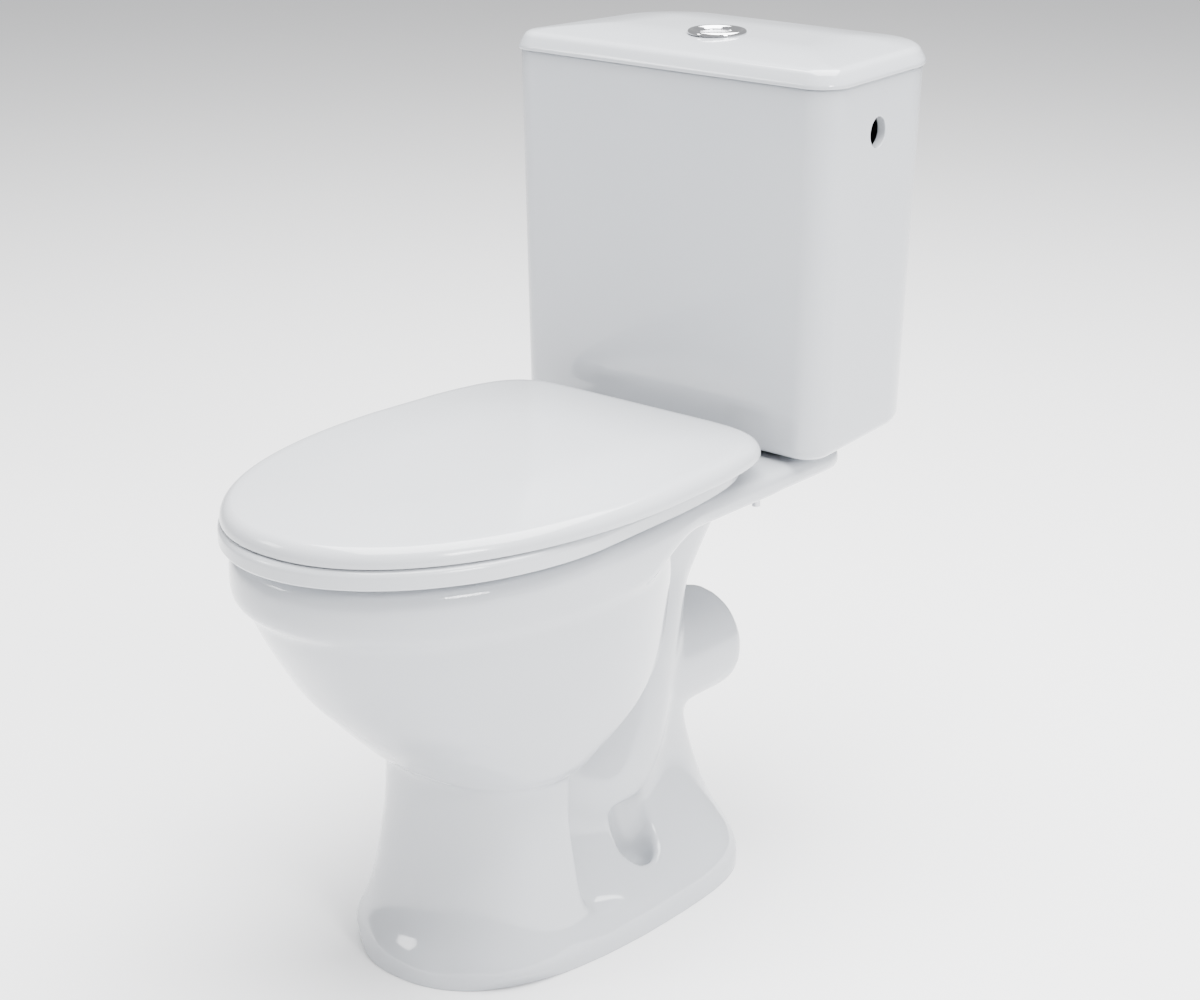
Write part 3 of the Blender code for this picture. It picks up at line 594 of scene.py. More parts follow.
def carved(base: bpy.types.Mesh, tools: Iterable[bpy.types.Mesh], operation: str) -> bpy.types.Mesh:
    """Cut or join meshes exactly.

    Args:
        base: the mesh that is kept.
        tools: the meshes taken from it or added to it.
        operation: DIFFERENCE or UNION.

    Returns:
        The resulting mesh.
    """
    item = shown("carving", base)
    helpers = [shown("carving_tool", tool) for tool in tools]
    for helper in helpers:
        step = item.modifiers.new("carve", "BOOLEAN")
        step.operation = operation
        step.solver = "EXACT"
        step.object = helper
    mesh = settled(item)
    for helper in helpers:
        bpy.data.objects.remove(helper, do_unlink=True)
    return mesh


def fused(mesh: bpy.types.Mesh, grain: float, rounds: int) -> bpy.types.Mesh:
    """Melt overlapping solids into one body and soften every joint.

    Args:
        mesh: closed solids that may overlap.
        grain: the cell size of the new skin.
        rounds: how many times the skin is relaxed.

    Returns:
        The single softened skin.
    """
    item = shown("melting", mesh)
    step = item.modifiers.new("one_skin", "REMESH")
    step.mode = "VOXEL"
    step.voxel_size = grain
    step.adaptivity = 0.0
    return relaxed(settled(item), rounds)


def relaxed(mesh: bpy.types.Mesh, rounds: int) -> bpy.types.Mesh:
    """Relax a mesh's points a number of times."""
    work = bmesh.new()
    work.from_mesh(mesh)
    for _ in range(rounds):
        bmesh.ops.smooth_vert(
            work, verts=work.verts, factor=0.5, use_axis_x=True, use_axis_y=True, use_axis_z=True,
        )
    work.to_mesh(mesh)
    work.free()
    return mesh


def shade(mesh: bpy.types.Mesh, angle: float = 40.0) -> None:
    """Smooth the faces and keep edges sharper than the angle crisp.

    Args:
        mesh: the mesh to shade.
        angle: the crease angle in degrees.
    """
    work = bmesh.new()
    work.from_mesh(mesh)
    limit = math.radians(angle)
    for face in work.faces:
        face.smooth = True
    for edge in work.edges:
        edge.smooth = len(edge.link_faces) != 2 or edge.calc_face_angle(0.0) < limit
    work.to_mesh(mesh)
    work.free()


def place_piece(
    name: str, mesh: bpy.types.Mesh, finish: Finish, body: Body, node: str, angle: float = 40.0,
) -> bpy.types.Object:
    """Show a finished mesh in place of a frame node.

    Args:
        name: the piece's name.
        mesh: its mesh, already in place.
        finish: its surface.
        body: the body it rides on.
        node: the frame node it stands for.
        angle: the crease angle for shading.

    Returns:
        The piece.
    """
    shade(mesh, angle)
    mesh.materials.clear()
    mesh.materials.append(finish.material())
    piece = shown(name, mesh)
    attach(piece, body.value)
    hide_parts(node)
    LOG.info("%s: %d faces", name, len(mesh.polygons))
    return piece


def soft_edges(piece: bpy.types.Object, width: float, segments: int = 3, angle: float = 35.0) -> None:
    """Round a piece's crisp edges with a bevel.

    Args:
        piece: the piece.
        width: the bevel's width.
        segments: steps across it.
        angle: only edges sharper than this many degrees.
    """
    step = piece.modifiers.new("soft_edges", "BEVEL")
    step.width = width
    step.segments = segments
    step.limit_method = "ANGLE"
    step.angle_limit = math.radians(angle)
    step.use_clamp_overlap = True


# ---------------------------------------------------------------- pan
@dataclass
class Pan:
    """The fired pan: bowl, flushing rim, trap, spigot, deck and foot."""

    band_widest: float = -0.106
    rim_top: float = 0.398
    deck_under: float = 0.377
    deck_top: float = 0.3995
    deck_half: float = 0.147
    deck_back: float = 0.232
    outlet_height: float = 0.185
    outlet_radius: float = 0.051
    outlet_bore: float = 0.043
    outlet_end: float = 0.207
    valve_y: float = 0.186
    bolt_x: float = 0.075
    hinge: Point = (0.0775, 0.100)
    floor_hole: Point = (0.066, 0.020)
    foot_plan: tuple[float, ...] = (-0.003, 2.36, 4.0, 0.05)
    points: int = 96
    outer_grain: float = 0.0040
    hollow_grain: float = 0.0035
    skin_grain: float = 0.0034
    outer_step: float = 0.006
    hollow_step: float = 0.005
    bolt_bore: float = 0.0055
    hinge_bore: float = 0.0065
    screw_bore: float = 0.0042
    trap_bore: float = 0.0265

    def build(self) -> bpy.types.Object:
        """Build, dress and place the pan."""
        body = fused(self.outer(), self.outer_grain, 8)
        body = carved(body, [fused(self.hollows(), self.hollow_grain, 3)], "DIFFERENCE")
        body = fused(body, self.skin_grain, 6)
        body = carved(body, [self.holes()], "DIFFERENCE")
        return place_piece("pan_glazed", body, GLAZE, Body.FRAME, "pan", 50.0)

    def outer(self) -> bpy.types.Mesh:
        """Return the overlapping outer solids in one mesh."""
        work = bmesh.new()
        for levels in (self.foot(), self.column(), self.bowl(), self.band(), self.neck()):
            skin(work, flowing(levels, self.outer_step), self.points)
        skin(work, self.deck(), 64)
        self.trap(work)
        start, end = (0, 0.090, self.outlet_height), (0, self.outlet_end, self.outlet_height)
        bar(work, self.outlet_radius, start, end, Axis.Y, 72)
        return close(work, "pan_outer")

    def levels(self, rows: Iterable[Sequence[float]], *shape: float) -> list[Egg]:
        """Return levels that are widest where the rim band is.

        Args:
            rows: height, half width, front and back, then the shape if each row has its own.
            shape: the shape that all rows share.
        """
        return [Egg(*row[:4], self.band_widest, *row[4:], *shape) for row in rows]

    def foot(self) -> list[Egg]:
        """Return the foot's levels, started below the floor."""
        rows = (
            (-0.0120, 0.1165, -0.2140, 0.1675),
            (0.0060, 0.1163, -0.2137, 0.1673),
            (0.0160, 0.1150, -0.2118, 0.1664),
            (0.0260, 0.1110, -0.2060, 0.1645),
            (0.0335, 0.1020, -0.1960, 0.1600),
        )
        return [Egg(*row, *self.foot_plan) for row in rows]

    def column(self) -> list[Egg]:
        """Return the levels of the front column under the bowl."""
        return self.levels((
            (0.0100, 0.1110, -0.2090, -0.0560, 2.4, 5.0),
            (0.0240, 0.1062, -0.2030, -0.0580, 2.4, 5.0),
            (0.0380, 0.1000, -0.1950, -0.0620, 2.4, 5.0),
            (0.0560, 0.0955, -0.1882, -0.0680, 2.4, 5.4),
            (0.0840, 0.0915, -0.1812, -0.0720, 2.4, 6.0),
            (0.1400, 0.0866, -0.1719, -0.0760, 2.4, 6.0),
            (0.1720, 0.0866, -0.1710, -0.0740, 2.3, 5.2),
            (0.2000, 0.0866, -0.1710, -0.0700, 2.2, 4.0),
        ))

    def bowl(self) -> list[Egg]:
        """Return the levels of the bowl's outside."""
        return self.levels((
            (0.1730, 0.0890, -0.1735, -0.0700, 2.3, 4.6),
            (0.1820, 0.1030, -0.1870, -0.0700, 2.3, 4.6),
            (0.2000, 0.1125, -0.2060, -0.0400, 2.3, 4.0),
            (0.2170, 0.1200, -0.2250, 0.0200, 2.2, 2.8),
            (0.2330, 0.1265, -0.2415, 0.0600, 2.1, 2.2),
            (0.2560, 0.1350, -0.2640, 0.0800),
            (0.2900, 0.1422, -0.2885, 0.0820),
            (0.3310, 0.1484, -0.3134, 0.0800),
            (0.3450, 0.1500, -0.3199, 0.0760),
            (0.3560, 0.1515, -0.3250, 0.0700),
            (0.3810, 0.1515, -0.3250, 0.0700),
        ))

    def band(self) -> list[Egg]:
        """Return the levels of the rim's deep outer band."""
        rows = (
            (0.3525, 0.1535, -0.3285, -0.0360),
            (0.3560, 0.1580, -0.3355, -0.0260),
            (0.3660, 0.1592, -0.3372, -0.0080),
            (0.3780, 0.1592, -0.3372, 0.0220),
            (0.3850, 0.1592, -0.3372, 0.0500),
            (0.3940, 0.1580, -0.3355, 0.0600),
            (0.3975, 0.1560, -0.3330, 0.0600),
            (self.rim_top, 0.1530, -0.3300, 0.0600),
        )
        return self.levels(rows, 2.06, 6.0, 0.05)

    def neck(self) -> list[Egg]:
        """Return the levels of the web behind the bowl, flared to the foot."""
        rows = (
            (0.012, 0.1120, -0.1100, 0.1665, 0.030, 2.6, 4.0),
            (0.030, 0.1030, -0.1100, 0.1650, 0.030, 2.6, 4.0),
            (0.046, 0.0880, -0.1100, 0.1620, 0.035, 2.6, 3.8),
            (0.066, 0.0720, -0.1100, 0.1585, 0.035, 2.8, 3.6),
            (0.092, 0.0590, -0.1100, 0.1550, 0.030, 3.2, 3.6),
            (0.122, 0.0500, -0.1100, 0.1490, 0.020, 4.0, 3.8),
            (0.150, 0.0485, -0.1100, 0.1435, 0.020, 4.0, 3.6),
            (0.185, 0.0490, -0.1100, 0.1410, 0.020, 4.0, 3.4),
            (0.236, 0.0490, -0.1000, 0.1420, 0.020, 4.0, 3.4),
            (0.262, 0.0490, -0.0600, 0.1490, 0.020, 4.0, 3.4),
            (0.299, 0.0500, -0.0400, 0.1760, 0.020, 4.0, 3.4),
            (0.330, 0.0520, -0.0300, 0.2000, 0.020, 4.0, 3.6),
            (0.360, 0.0560, -0.0200, 0.2120, 0.020, 4.0, 4.0),
            (0.384, 0.0640, -0.0100, 0.2170, 0.020, 4.0, 4.0),
        )
        return [Egg(*row) for row in rows]

    def trap(self, work: bmesh.types.BMesh) -> None:
        """Add the trap's round bend, proud of the web on both sides.

        Args:
            work: the mesh that takes the bend.
        """
        route = (
            (-0.075, 0.190), (-0.036, 0.132), (0.006, 0.112), (0.046, 0.146), (0.070, 0.196),
            (0.092, 0.245), (0.112, 0.300),
        )
        sizes = (0.044, 0.060, 0.0680, 0.0650, 0.0590, 0.0530, 0.0450)
        knots = self.distances(route)
        steps, sides = 40, 48
        rings = []
        for i in range(steps + 1):
            at = knots[-1] * i / steps
            rings.append(self.hoop(route, knots, at, monotone(knots, sizes, at), sides))
        tube(work, rings)

    def deck(self) -> list[Slab]:
        """Return the levels of the flat deck."""
        stack = (
            (self.deck_under, 0.003), (self.deck_under + 0.003, 0.0), (self.deck_top - 0.002, 0.0),
            (self.deck_top, 0.0015),
        )
        return [
            Slab(
                height,
                -0.060 + inset,
                self.deck_back - inset,
                0.150 - inset,
                self.deck_half - inset,
                0.030,
                0.030,
            )
            for height, inset in stack
        ]

    def hollows(self) -> bpy.types.Mesh:
        """Return every hollow of the pan as overlapping solids."""
        work = bmesh.new()
        skin(work, flowing(self.bowl_inside(), self.hollow_step), self.points)
        self.channel(work)
        self.waterway(work)
        for levels in self.under_foot():
            skin(work, levels, 64)
        for sign in (-1, 1):
            x, y = self.floor_hole
            skin(
                work,
                [
                    Ball(sign * x, y, 0.0310, 0.0115),
                    Ball(sign * (x + 0.002), y, 0.0400, 0.0165),
                    Ball(sign * (x + 0.014), y, 0.1000, 0.0330),
                ],
                40,
            )
        y, height = self.valve_y, 0.3515
        bar(work, 0.0375, (0, y, 0.3835), (0, y, 0.42))
        bar(work, 0.0260, (0, y, 0.336), (0, y, 0.39))
        bar(work, 0.0135, (0, -0.030, height), (0, y, height), Axis.Y, 32)
        start, end = (0, 0.158, self.outlet_height), (0, self.outlet_end + 0.02, self.outlet_height)
        bar(work, self.outlet_bore, start, end, Axis.Y, 72)
        return close(work, "pan_hollows")

    def bowl_inside(self) -> list[Egg]:
        """Return the bowl's inside, undercut below the rim's lip."""
        stack = (
            (0.1250, 0.0220, -0.0900, -0.0250),
            (0.1500, 0.0280, -0.1150, -0.0180),
            (0.1800, 0.0310, -0.1400, -0.0150),
            (0.2000, 0.0360, -0.1550, -0.0180),
            (0.2170, 0.0520, -0.1740, -0.0100),
            (0.2330, 0.0660, -0.1940, 0.0200),
            (0.2560, 0.0800, -0.2200, 0.0280),
            (0.2900, 0.0980, -0.2440, 0.0200),
            (0.3310, 0.1160, -0.2700, 0.0020),
            (0.3480, 0.1300, -0.2900, 0.0020),
            (0.3600, 0.1320, -0.3050, 0.0020),
            (0.3640, 0.1090, -0.2880, -0.0260),
            (0.3950, 0.1070, -0.2860, -0.0280),
            (0.4200, 0.1120, -0.2910, -0.0230),
        )
        return [
            Egg(z, half, front, back, front + 0.56 * (back - front), 2.1, 2.6)
            for z, half, front, back in stack
        ]

    def channel(self, work: bmesh.types.BMesh) -> None:
        """Add the flushing channel: a closed ring inside the rim.

        Args:
            work: the mesh that takes the ring.
        """
        outside = Egg(0.0, 0.144, -0.3200, 0.0020, self.band_widest, 2.06, 4.0, 0.05)
        inside = Egg(0.0, 0.1200, -0.3000, -0.0150, -0.130, 2.1, 3.0)
        loops = []
        for level, height in ((outside, 0.354), (outside, 0.386), (inside, 0.386), (inside, 0.354)):
            places = level.outline(self.points)
            made = bmesh.ops.create_circle(work, segments=len(places), radius=1.0)["verts"]
            for vert, place in zip(made, places):
                vert.co = (place[0], place[1], height)
            loops.append(list({edge for vert in made for edge in vert.link_edges}))
        for i in range(4):
            bmesh.ops.bridge_loops(work, edges=loops[i] + loops[(i + 1) % 4])

    def waterway(self, work: bmesh.types.BMesh) -> None:
        """Add the trap's waterway: round bars bridged along its route.

        Args:
            work: the mesh that takes the waterway.
        """
        route = (
            (-0.060, 0.165), (-0.010, 0.127), (0.040, 0.145), (0.070, 0.190), (0.105, 0.226),
            (0.140, 0.200), (0.175, 0.186),
        )
        knots = self.distances(route)
        steps, sides = 36, 40
        places = [knots[-1] * i / steps for i in range(steps + 1)]
        tube(work, [self.hoop(route, knots, at, self.trap_bore, sides) for at in places])

    def distances(self, route: Sequence[Point]) -> list[float]:
        """Return how far along a route each of its points stands."""
        knots = [0.0]
        for here, there in zip(route, route[1:]):
            knots.append(knots[-1] + math.dist(here, there))
        return knots

    def hoop(
        self, route: Sequence[Point], knots: Sequence[float], at: float, radius: float, count: int,
    ) -> list[Vector]:
        """Return a circle square to a route in the mid-plane.

        Args:
            route: the (y, z) points it runs through.
            knots: how far along each point stands.
            at: the circle's distance along the route.
            radius: the circle's radius.
            count: how many points it has.
        """
        here, reach = self.along(route, knots, at), 0.004
        ahead = self.along(route, knots, min(at + reach, knots[-1]))
        run = ahead - self.along(route, knots, max(at - reach, 0.0))
        across = Vector((0, -run.z, run.y)).normalized()
        turns = [2 * math.pi * k / count for k in range(count)]
        return [here + radius * (Vector((math.cos(t), 0, 0)) + across * math.sin(t)) for t in turns]

    def along(self, route: Sequence[Point], knots: Sequence[float], at: float) -> Vector:
        """Return the waterway's middle at a distance along its route.

        Args:
            route: the (y, z) points it runs through.
            knots: how far along each point stands.
            at: the distance.
        """
        return Vector((0, *(monotone(knots, [p[k] for p in route], at) for k in (0, 1))))

    def under_foot(self) -> list[list[Egg]]:
        """Return the hollows under the plate, the column and the trap."""
        plate = (0.104, -0.2010, 0.1550, *self.foot_plan)
        column = (0.078, -0.1600, -0.0900, -0.115, 2.4, 5.0)
        trap = (0.034, -0.0700, 0.1300, 0.030, 4.0, 4.0)
        return [
            [Egg(-0.030, *plate), Egg(0.022, *plate)],
            [Egg(0.015, *column), Egg(0.085, *column)],
            [Egg(0.014, *trap), Egg(0.070, *trap)],
        ]

    def holes(self) -> bpy.types.Mesh:
        """Return the drilled holes and the floor's cut as one tool."""
        work = bmesh.new()
        for sign in (-1, 1):
            for (x, y), radius, low, high in (
                ((self.bolt_x, self.valve_y), self.bolt_bore, 0.35, 0.42),
                (self.hinge, self.hinge_bore, 0.35, 0.42),
                (self.floor_hole, self.screw_bore, 0.004, 0.075),
            ):
                bar(work, radius, (sign * x, y, low), (sign * x, y, high), Axis.Z, 32)
        block(work, (-0.3, -0.4, -0.1), (0.3, 0.4, 0.0002))
        return close(work, "pan_holes")


# ---------------------------------------------------------------- cistern
@dataclass
class Cistern:
    """The cistern body and its lift-off lid."""

    bottom: float = 0.404
    top: float = 0.727
    floor: float = 0.416
    front: float = 0.138
    back: float = 0.344
    half: float = 0.1745
    half_back: float = 0.1635
    draft: float = 0.0065
    wall: float = 0.009
    r_front: float = 0.025
    r_back: float = 0.070
    overhang: float = 0.0025
    inlet: Point = (0.223, 0.6815)
    inlet_radius: float = 0.0133
    button_y: float = 0.2155
    button_bore: float = 0.0215
    valve_y: float = 0.186
    valve_bore: float = 0.0255
    bolt_x: float = 0.075
    bolt_bore: float = 0.0055

    def level(self, height: float, inset: float, at: float | None = None) -> Slab:
        """Return the cistern's plan at a height.

        Args:
            height: where the level stands.
            inset: how far inside the outer face it runs.
            at: the height whose draft it takes, if not its own.
        """
        drop = (self.top - (height if at is None else at)) / (self.top - self.bottom)
        lean = self.draft * drop
        return Slab(
            height,
            self.front + 0.002 * drop + inset,
            self.back - 0.010 * drop - inset,
            self.half - lean - inset,
            self.half_back - lean - inset,
            max(self.r_front - inset, 0.005),
            max(self.r_back - inset, 0.010),
        )

    def build_body(self) -> bpy.types.Object:
        """Build the deep open tank with its rounded lower edge."""
        work = bmesh.new()
        radius, rise = 0.010, self.top - self.bottom
        levels = [
            self.level(self.bottom + radius * (1 - cosine), radius * (1 - sine))
            for sine, cosine in arc(0, 90, 8)
        ]
        levels += [self.level(self.bottom + 0.02 + (rise - 0.022) * i / 6, 0.0) for i in range(7)]
        levels += [self.level(self.top - 0.0006, 0.0004), self.level(self.top, 0.0014)]
        levels += [self.level(self.top, self.wall - 0.0014), self.level(self.top - 0.0012, self.wall)]
        levels += [
            self.level(0.430, self.wall),
            self.level(0.420, self.wall + 0.0022),
            self.level(self.floor, self.wall + 0.008),
        ]
        skin(work, levels, 96)
        body = carved(close(work, "cistern_skin"), [self.holes()], "DIFFERENCE")
        piece = place_piece("cistern_glazed", body, GLAZE, Body.FRAME, "cistern_body", 32.0)
        soft_edges(piece, 0.0013, 3, 40.0)
        return piece

    def holes(self) -> bpy.types.Mesh:
        """Return the inlet, valve and bolt holes as one tool."""
        work = bmesh.new()
        y, z = self.inlet
        bar(work, self.inlet_radius, (-0.2, y, z), (0.2, y, z), Axis.X, 56)
        y, low, high = self.valve_y, 0.39, 0.43
        bar(work, self.valve_bore, (0, y, low), (0, y, high), Axis.Z, 56)
        for x in (-self.bolt_x, self.bolt_x):
            bar(work, self.bolt_bore, (x, y, low), (x, y, high), Axis.Z, 28)
        return close(work, "cistern_holes")

    def build_lid(self) -> bpy.types.Object:
        """Build the crowned lid with its locating skirt."""
        work = bmesh.new()
        top, over = self.top, -self.overhang
        stack = [
            (0.7385, 0.0190), (0.7180, 0.0185), (0.7155, 0.0172), (0.7155, 0.0128), (0.7180, 0.0115),
            (0.7285, 0.0115),
        ]
        stack += [(0.7285, 0.0060), (0.7276, 0.0008), (0.7280, over + 0.0005), (0.7290, over)]
        stack += [
            (0.7306, over + 0.0001), (0.7320, over + 0.0007), (0.7350, over + 0.0022),
            (0.7385, over + 0.0042),
        ]
        for sine, cosine in arc(24, 82, 8, 1):
            stack.append((0.7385 + 0.0090 * (sine - 0.4067), over + 0.0042 + 0.0105 * (0.9135 - cosine)))
        stack += crown(*stack[-1], 0.7496, 0.070, 12)
        skin(work, [self.level(z, inset, top) for z, inset in stack], 96)
        tool = bmesh.new()
        bar(tool, self.button_bore, (0, self.button_y, 0.70), (0, self.button_y, 0.77), Axis.Z, 56)
        mesh = carved(close(work, "lid_skin"), [close(tool, "lid_hole")], "DIFFERENCE")
        return place_piece("cistern_lid_glazed", mesh, GLAZE, Body.FRAME, "cistern_lid", 32.0)


# ---------------------------------------------------------------- button
@dataclass
class PushButton:
    """The chromed bezel and its two push plates."""

    y: float = 0.2155
    radius: float = 0.0262
    plate: float = 0.0180
    split: float = 0.006
    gap: float = 0.0003

    def build(self) -> list[bpy.types.Object]:
        """Build the bezel and both plates."""
        return [
            self.bezel(),
            self.half("button_full", Body.FULL_PLATE, -1),
            self.half("button_half", Body.HALF_PLATE, 1),
        ]

    def bezel(self) -> bpy.types.Object:
        """Return the ring, rolled over on its outer edge."""
        work = bmesh.new()
        profile = [
            (0.0188, 0.7260), (0.0207, 0.7260), (0.0207, 0.7497), (self.radius, 0.7497),
            (self.radius, 0.7503),
        ]
        for sine, cosine in arc(0, 180, 9, 1, 8):
            profile.append((0.0232 + 0.0030 * cosine, 0.7505 + 0.0026 * sine))
        profile += [(0.0200, 0.7508), (0.0190, 0.7496), (0.0188, 0.7480)]
        round_skin(work, profile, Matrix.Translation((0, self.y, 0)), 96)
        return place_piece(
            "button_bezel_chromed", close(work, "bezel"), BRIGHT_CHROME, Body.FRAME, "button_bezel", 38.0,
        )

    def half(self, node: str, body: Body, side: int) -> bpy.types.Object:
        """Return one push plate with its rod.

        Args:
            node: the frame node it stands for.
            body: the body it rides on.
            side: -1 for the wide plate and +1 for the narrow one.
        """
        work = bmesh.new()
        top, edge = 0.7495, 0.0009
        profile = [
            (0.0, 0.7410), (self.plate, 0.7410), (self.plate, top - edge),
            (self.plate - 0.3 * edge, top - 0.3 * edge),
        ]
        profile += [(self.plate - edge, top), (self.plate * 0.5, top - 0.0004), (0.0, top - 0.0006)]
        round_skin(work, profile, Matrix.Translation((0, self.y, 0)), 72)
        plate = close(work, node)
        tool = bmesh.new()
        if side > 0:
            block(tool, (-0.05, self.y - 0.05, 0.73), (self.split + self.gap, self.y + 0.05, 0.76))
        else:
            block(tool, (self.split - self.gap, self.y - 0.05, 0.73), (0.05, self.y + 0.05, 0.76))
        plate = carved(plate, [close(tool, "split")], "DIFFERENCE")
        rod = bmesh.new()
        x = 0.0115 if side > 0 else -0.0075
        bar(rod, 0.0026, (x, self.y, 0.6485), (x, self.y, 0.7450), Axis.Z, 24)
        plate = carved(plate, [close(rod, "rod")], "UNION")
        piece = place_piece(f"{node}_plate", plate, SATIN_PLATE, body, node, 38.0)
        soft_edges(piece, 0.0004, 2, 50.0)
        return piece


# ---------------------------------------------------------------- seat
@dataclass
class Seat:
    """The seat ring, its closing lid and their hinge ears."""

    hinge_x: float = 0.0775
    hinge_y: float = 0.100
    hinge_z: float = 0.418
    under: float = 0.403
    top: float = 0.419
    cover_under: float = 0.420
    crown: float = 0.4405

    def ring_level(self, height: float, inset: float) -> Egg:
        """Return a level of the seat's outer edge."""
        return Egg(height, 0.161 - inset, -0.3455 + inset, 0.1003 - inset, -0.130, 2.0, 8.5, 0.13)

    def hole_level(self, height: float, grow: float) -> Egg:
        """Return a level of the seat's opening."""
        return Egg(height, 0.098 + grow, -0.283 - grow, -0.030 + grow, -0.150, 2.1, 2.6)

    def cover_level(self, height: float, inset: float) -> Egg:
        """Return a level of the closing lid."""
        return Egg(height, 0.1697 - inset, -0.3415 + inset, 0.1172 - inset, -0.061, 2.16, 8.0, 0.125)

    def ears(
        self, x: float, front: float, low: float, high: float,
    ) -> tuple[bpy.types.Mesh, bpy.types.Mesh]:
        """Return one hinge ear and its bore.

        Args:
            x: the middle of the ear.
            front: how far forward its arm runs.
            low: the arm's underside.
            high: the arm's top.
        """
        work = bmesh.new()
        middle = (x, self.hinge_y, self.hinge_z)
        cross_bar(work, 0.0088, middle, 0.005, 48)
        arm = bmesh.new()
        block(arm, (x - 0.005, front, low), (x + 0.005, self.hinge_y, high))
        eye = carved(close(work, "eye"), [close(arm, "arm")], "UNION")
        bore = bmesh.new()
        cross_bar(bore, PIN_BORE, middle, 0.02, 32)
        return eye, close(bore, "bore")

    def fit_ears(
        self, mesh: bpy.types.Mesh, offset: float, front: float, low: float, high: float, notch: float,
    ) -> bpy.types.Mesh:
        """Cut both hinge notches and add both ears.

        Args:
            mesh: the seat or the lid.
            offset: from the hinge post out to the ear, along X.
            front: how far forward the arms run.
            low: the arms' underside.
            high: the arms' top.
            notch: the top of the notches.

        Returns:
            The mesh with its ears.
        """
        for sign in (-1, 1):
            x = sign * self.hinge_x
            gap = bmesh.new()
            block(gap, (x - 0.0215, 0.086, 0.380), (x + 0.0215, 0.140, notch))
            eye, bore = self.ears(x + sign * offset, front, low, high)
            mesh = carved(mesh, [close(gap, "notch")], "DIFFERENCE")
            mesh = carved(mesh, [eye], "UNION")
            mesh = carved(mesh, [bore], "DIFFERENCE")
        return mesh

    def build_ring(self) -> bpy.types.Object:
        """Build the seat ring, rolled over towards its opening."""
        work = bmesh.new()
        height, edge = self.top, 0.0058
        levels = [
            self.ring_level(self.under, 0.0030),
            self.ring_level(self.under + 0.0008, 0.0010),
            self.ring_level(self.under + 0.0022, 0.0),
        ]
        levels.append(self.ring_level(height - edge, 0.0))
        for sine, cosine in arc(0, 90, 8, 1):
            levels.append(self.ring_level(height - edge + edge * sine, edge * (1 - cosine)))
        skin(work, levels, 192)
        tool = bmesh.new()
        inner = [
            self.hole_level(0.390, 0.0060),
            self.hole_level(self.under, 0.0050),
            self.hole_level(0.4045, 0.0022),
            self.hole_level(0.4070, 0.0008),
            self.hole_level(0.4100, 0.0),
        ]
        for sine, cosine in arc(0, 90, 8, 1):
            inner.append(self.hole_level(0.4110 + 0.0080 * sine, 0.0085 * (1 - cosine)))
        inner.append(self.hole_level(0.430, 0.012))
        skin(tool, inner, 144)
        mesh = carved(close(work, "seat_skin"), [close(tool, "seat_hole")], "DIFFERENCE")
        mesh = self.fit_ears(mesh, -0.0150, 0.070, 0.4095, 0.4180, 0.430)
        return place_piece("seat_ring_moulded", mesh, SEAT_RESIN, Body.SEAT, "seat_ring", 32.0)

    def build_cover(self) -> bpy.types.Object:
        """Build the crowned lid, hollow below with a rolled edge."""
        work = bmesh.new()
        edge = 0.0135
        stack = [(0.4300, 0.060), (0.4300, 0.0170), (0.4285, 0.0120), (0.4240, 0.0098), (0.4210, 0.0086)]
        stack += [(self.cover_under, 0.0070), (self.cover_under, 0.0018), (0.4206, 0.0005), (0.4216, 0.0)]
        stack += [(0.4225 + edge * sine, edge * (1 - cosine)) for sine, cosine in arc(0, 75, 10)]
        stack += crown(*stack[-1], self.crown, 0.100, 14)
        skin(work, [self.cover_level(z, inset) for z, inset in stack], 192)
        mesh = self.fit_ears(close(work, "cover_skin"), 0.0150, 0.083, 0.4200, 0.4335, 0.4315)
        return place_piece("seat_lid_moulded", mesh, SEAT_RESIN, Body.COVER, "seat_lid", 32.0)

    def build_buffers(self) -> list[bpy.types.Object]:
        """Build the six small cushions, domed on their free end."""
        made = []
        for side in ("right", "left"):
            for node, body in (
                (f"seat_buffer_front_{side}", Body.SEAT),
                (f"seat_buffer_rear_{side}", Body.SEAT),
                (f"cover_buffer_{side}", Body.COVER),
            ):
                low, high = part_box(node)
                radius = (high[0] - low[0]) / 2
                x, y = (high[0] + low[0]) / 2, (high[1] + low[1]) / 2
                work = bmesh.new()
                profile = [
                    (0.0, high[2]), (radius, high[2]), (radius, low[2] + 0.0012),
                    (radius * 0.93, low[2] + 0.0004), (radius * 0.8, low[2]), (0.0, low[2]),
                ]
                round_skin(work, profile, Matrix.Translation((x, y, 0)), 40)
                made.append(place_piece(f"{node}_cushion", close(work, node), CUSHION, body, node, 50.0))
        return made


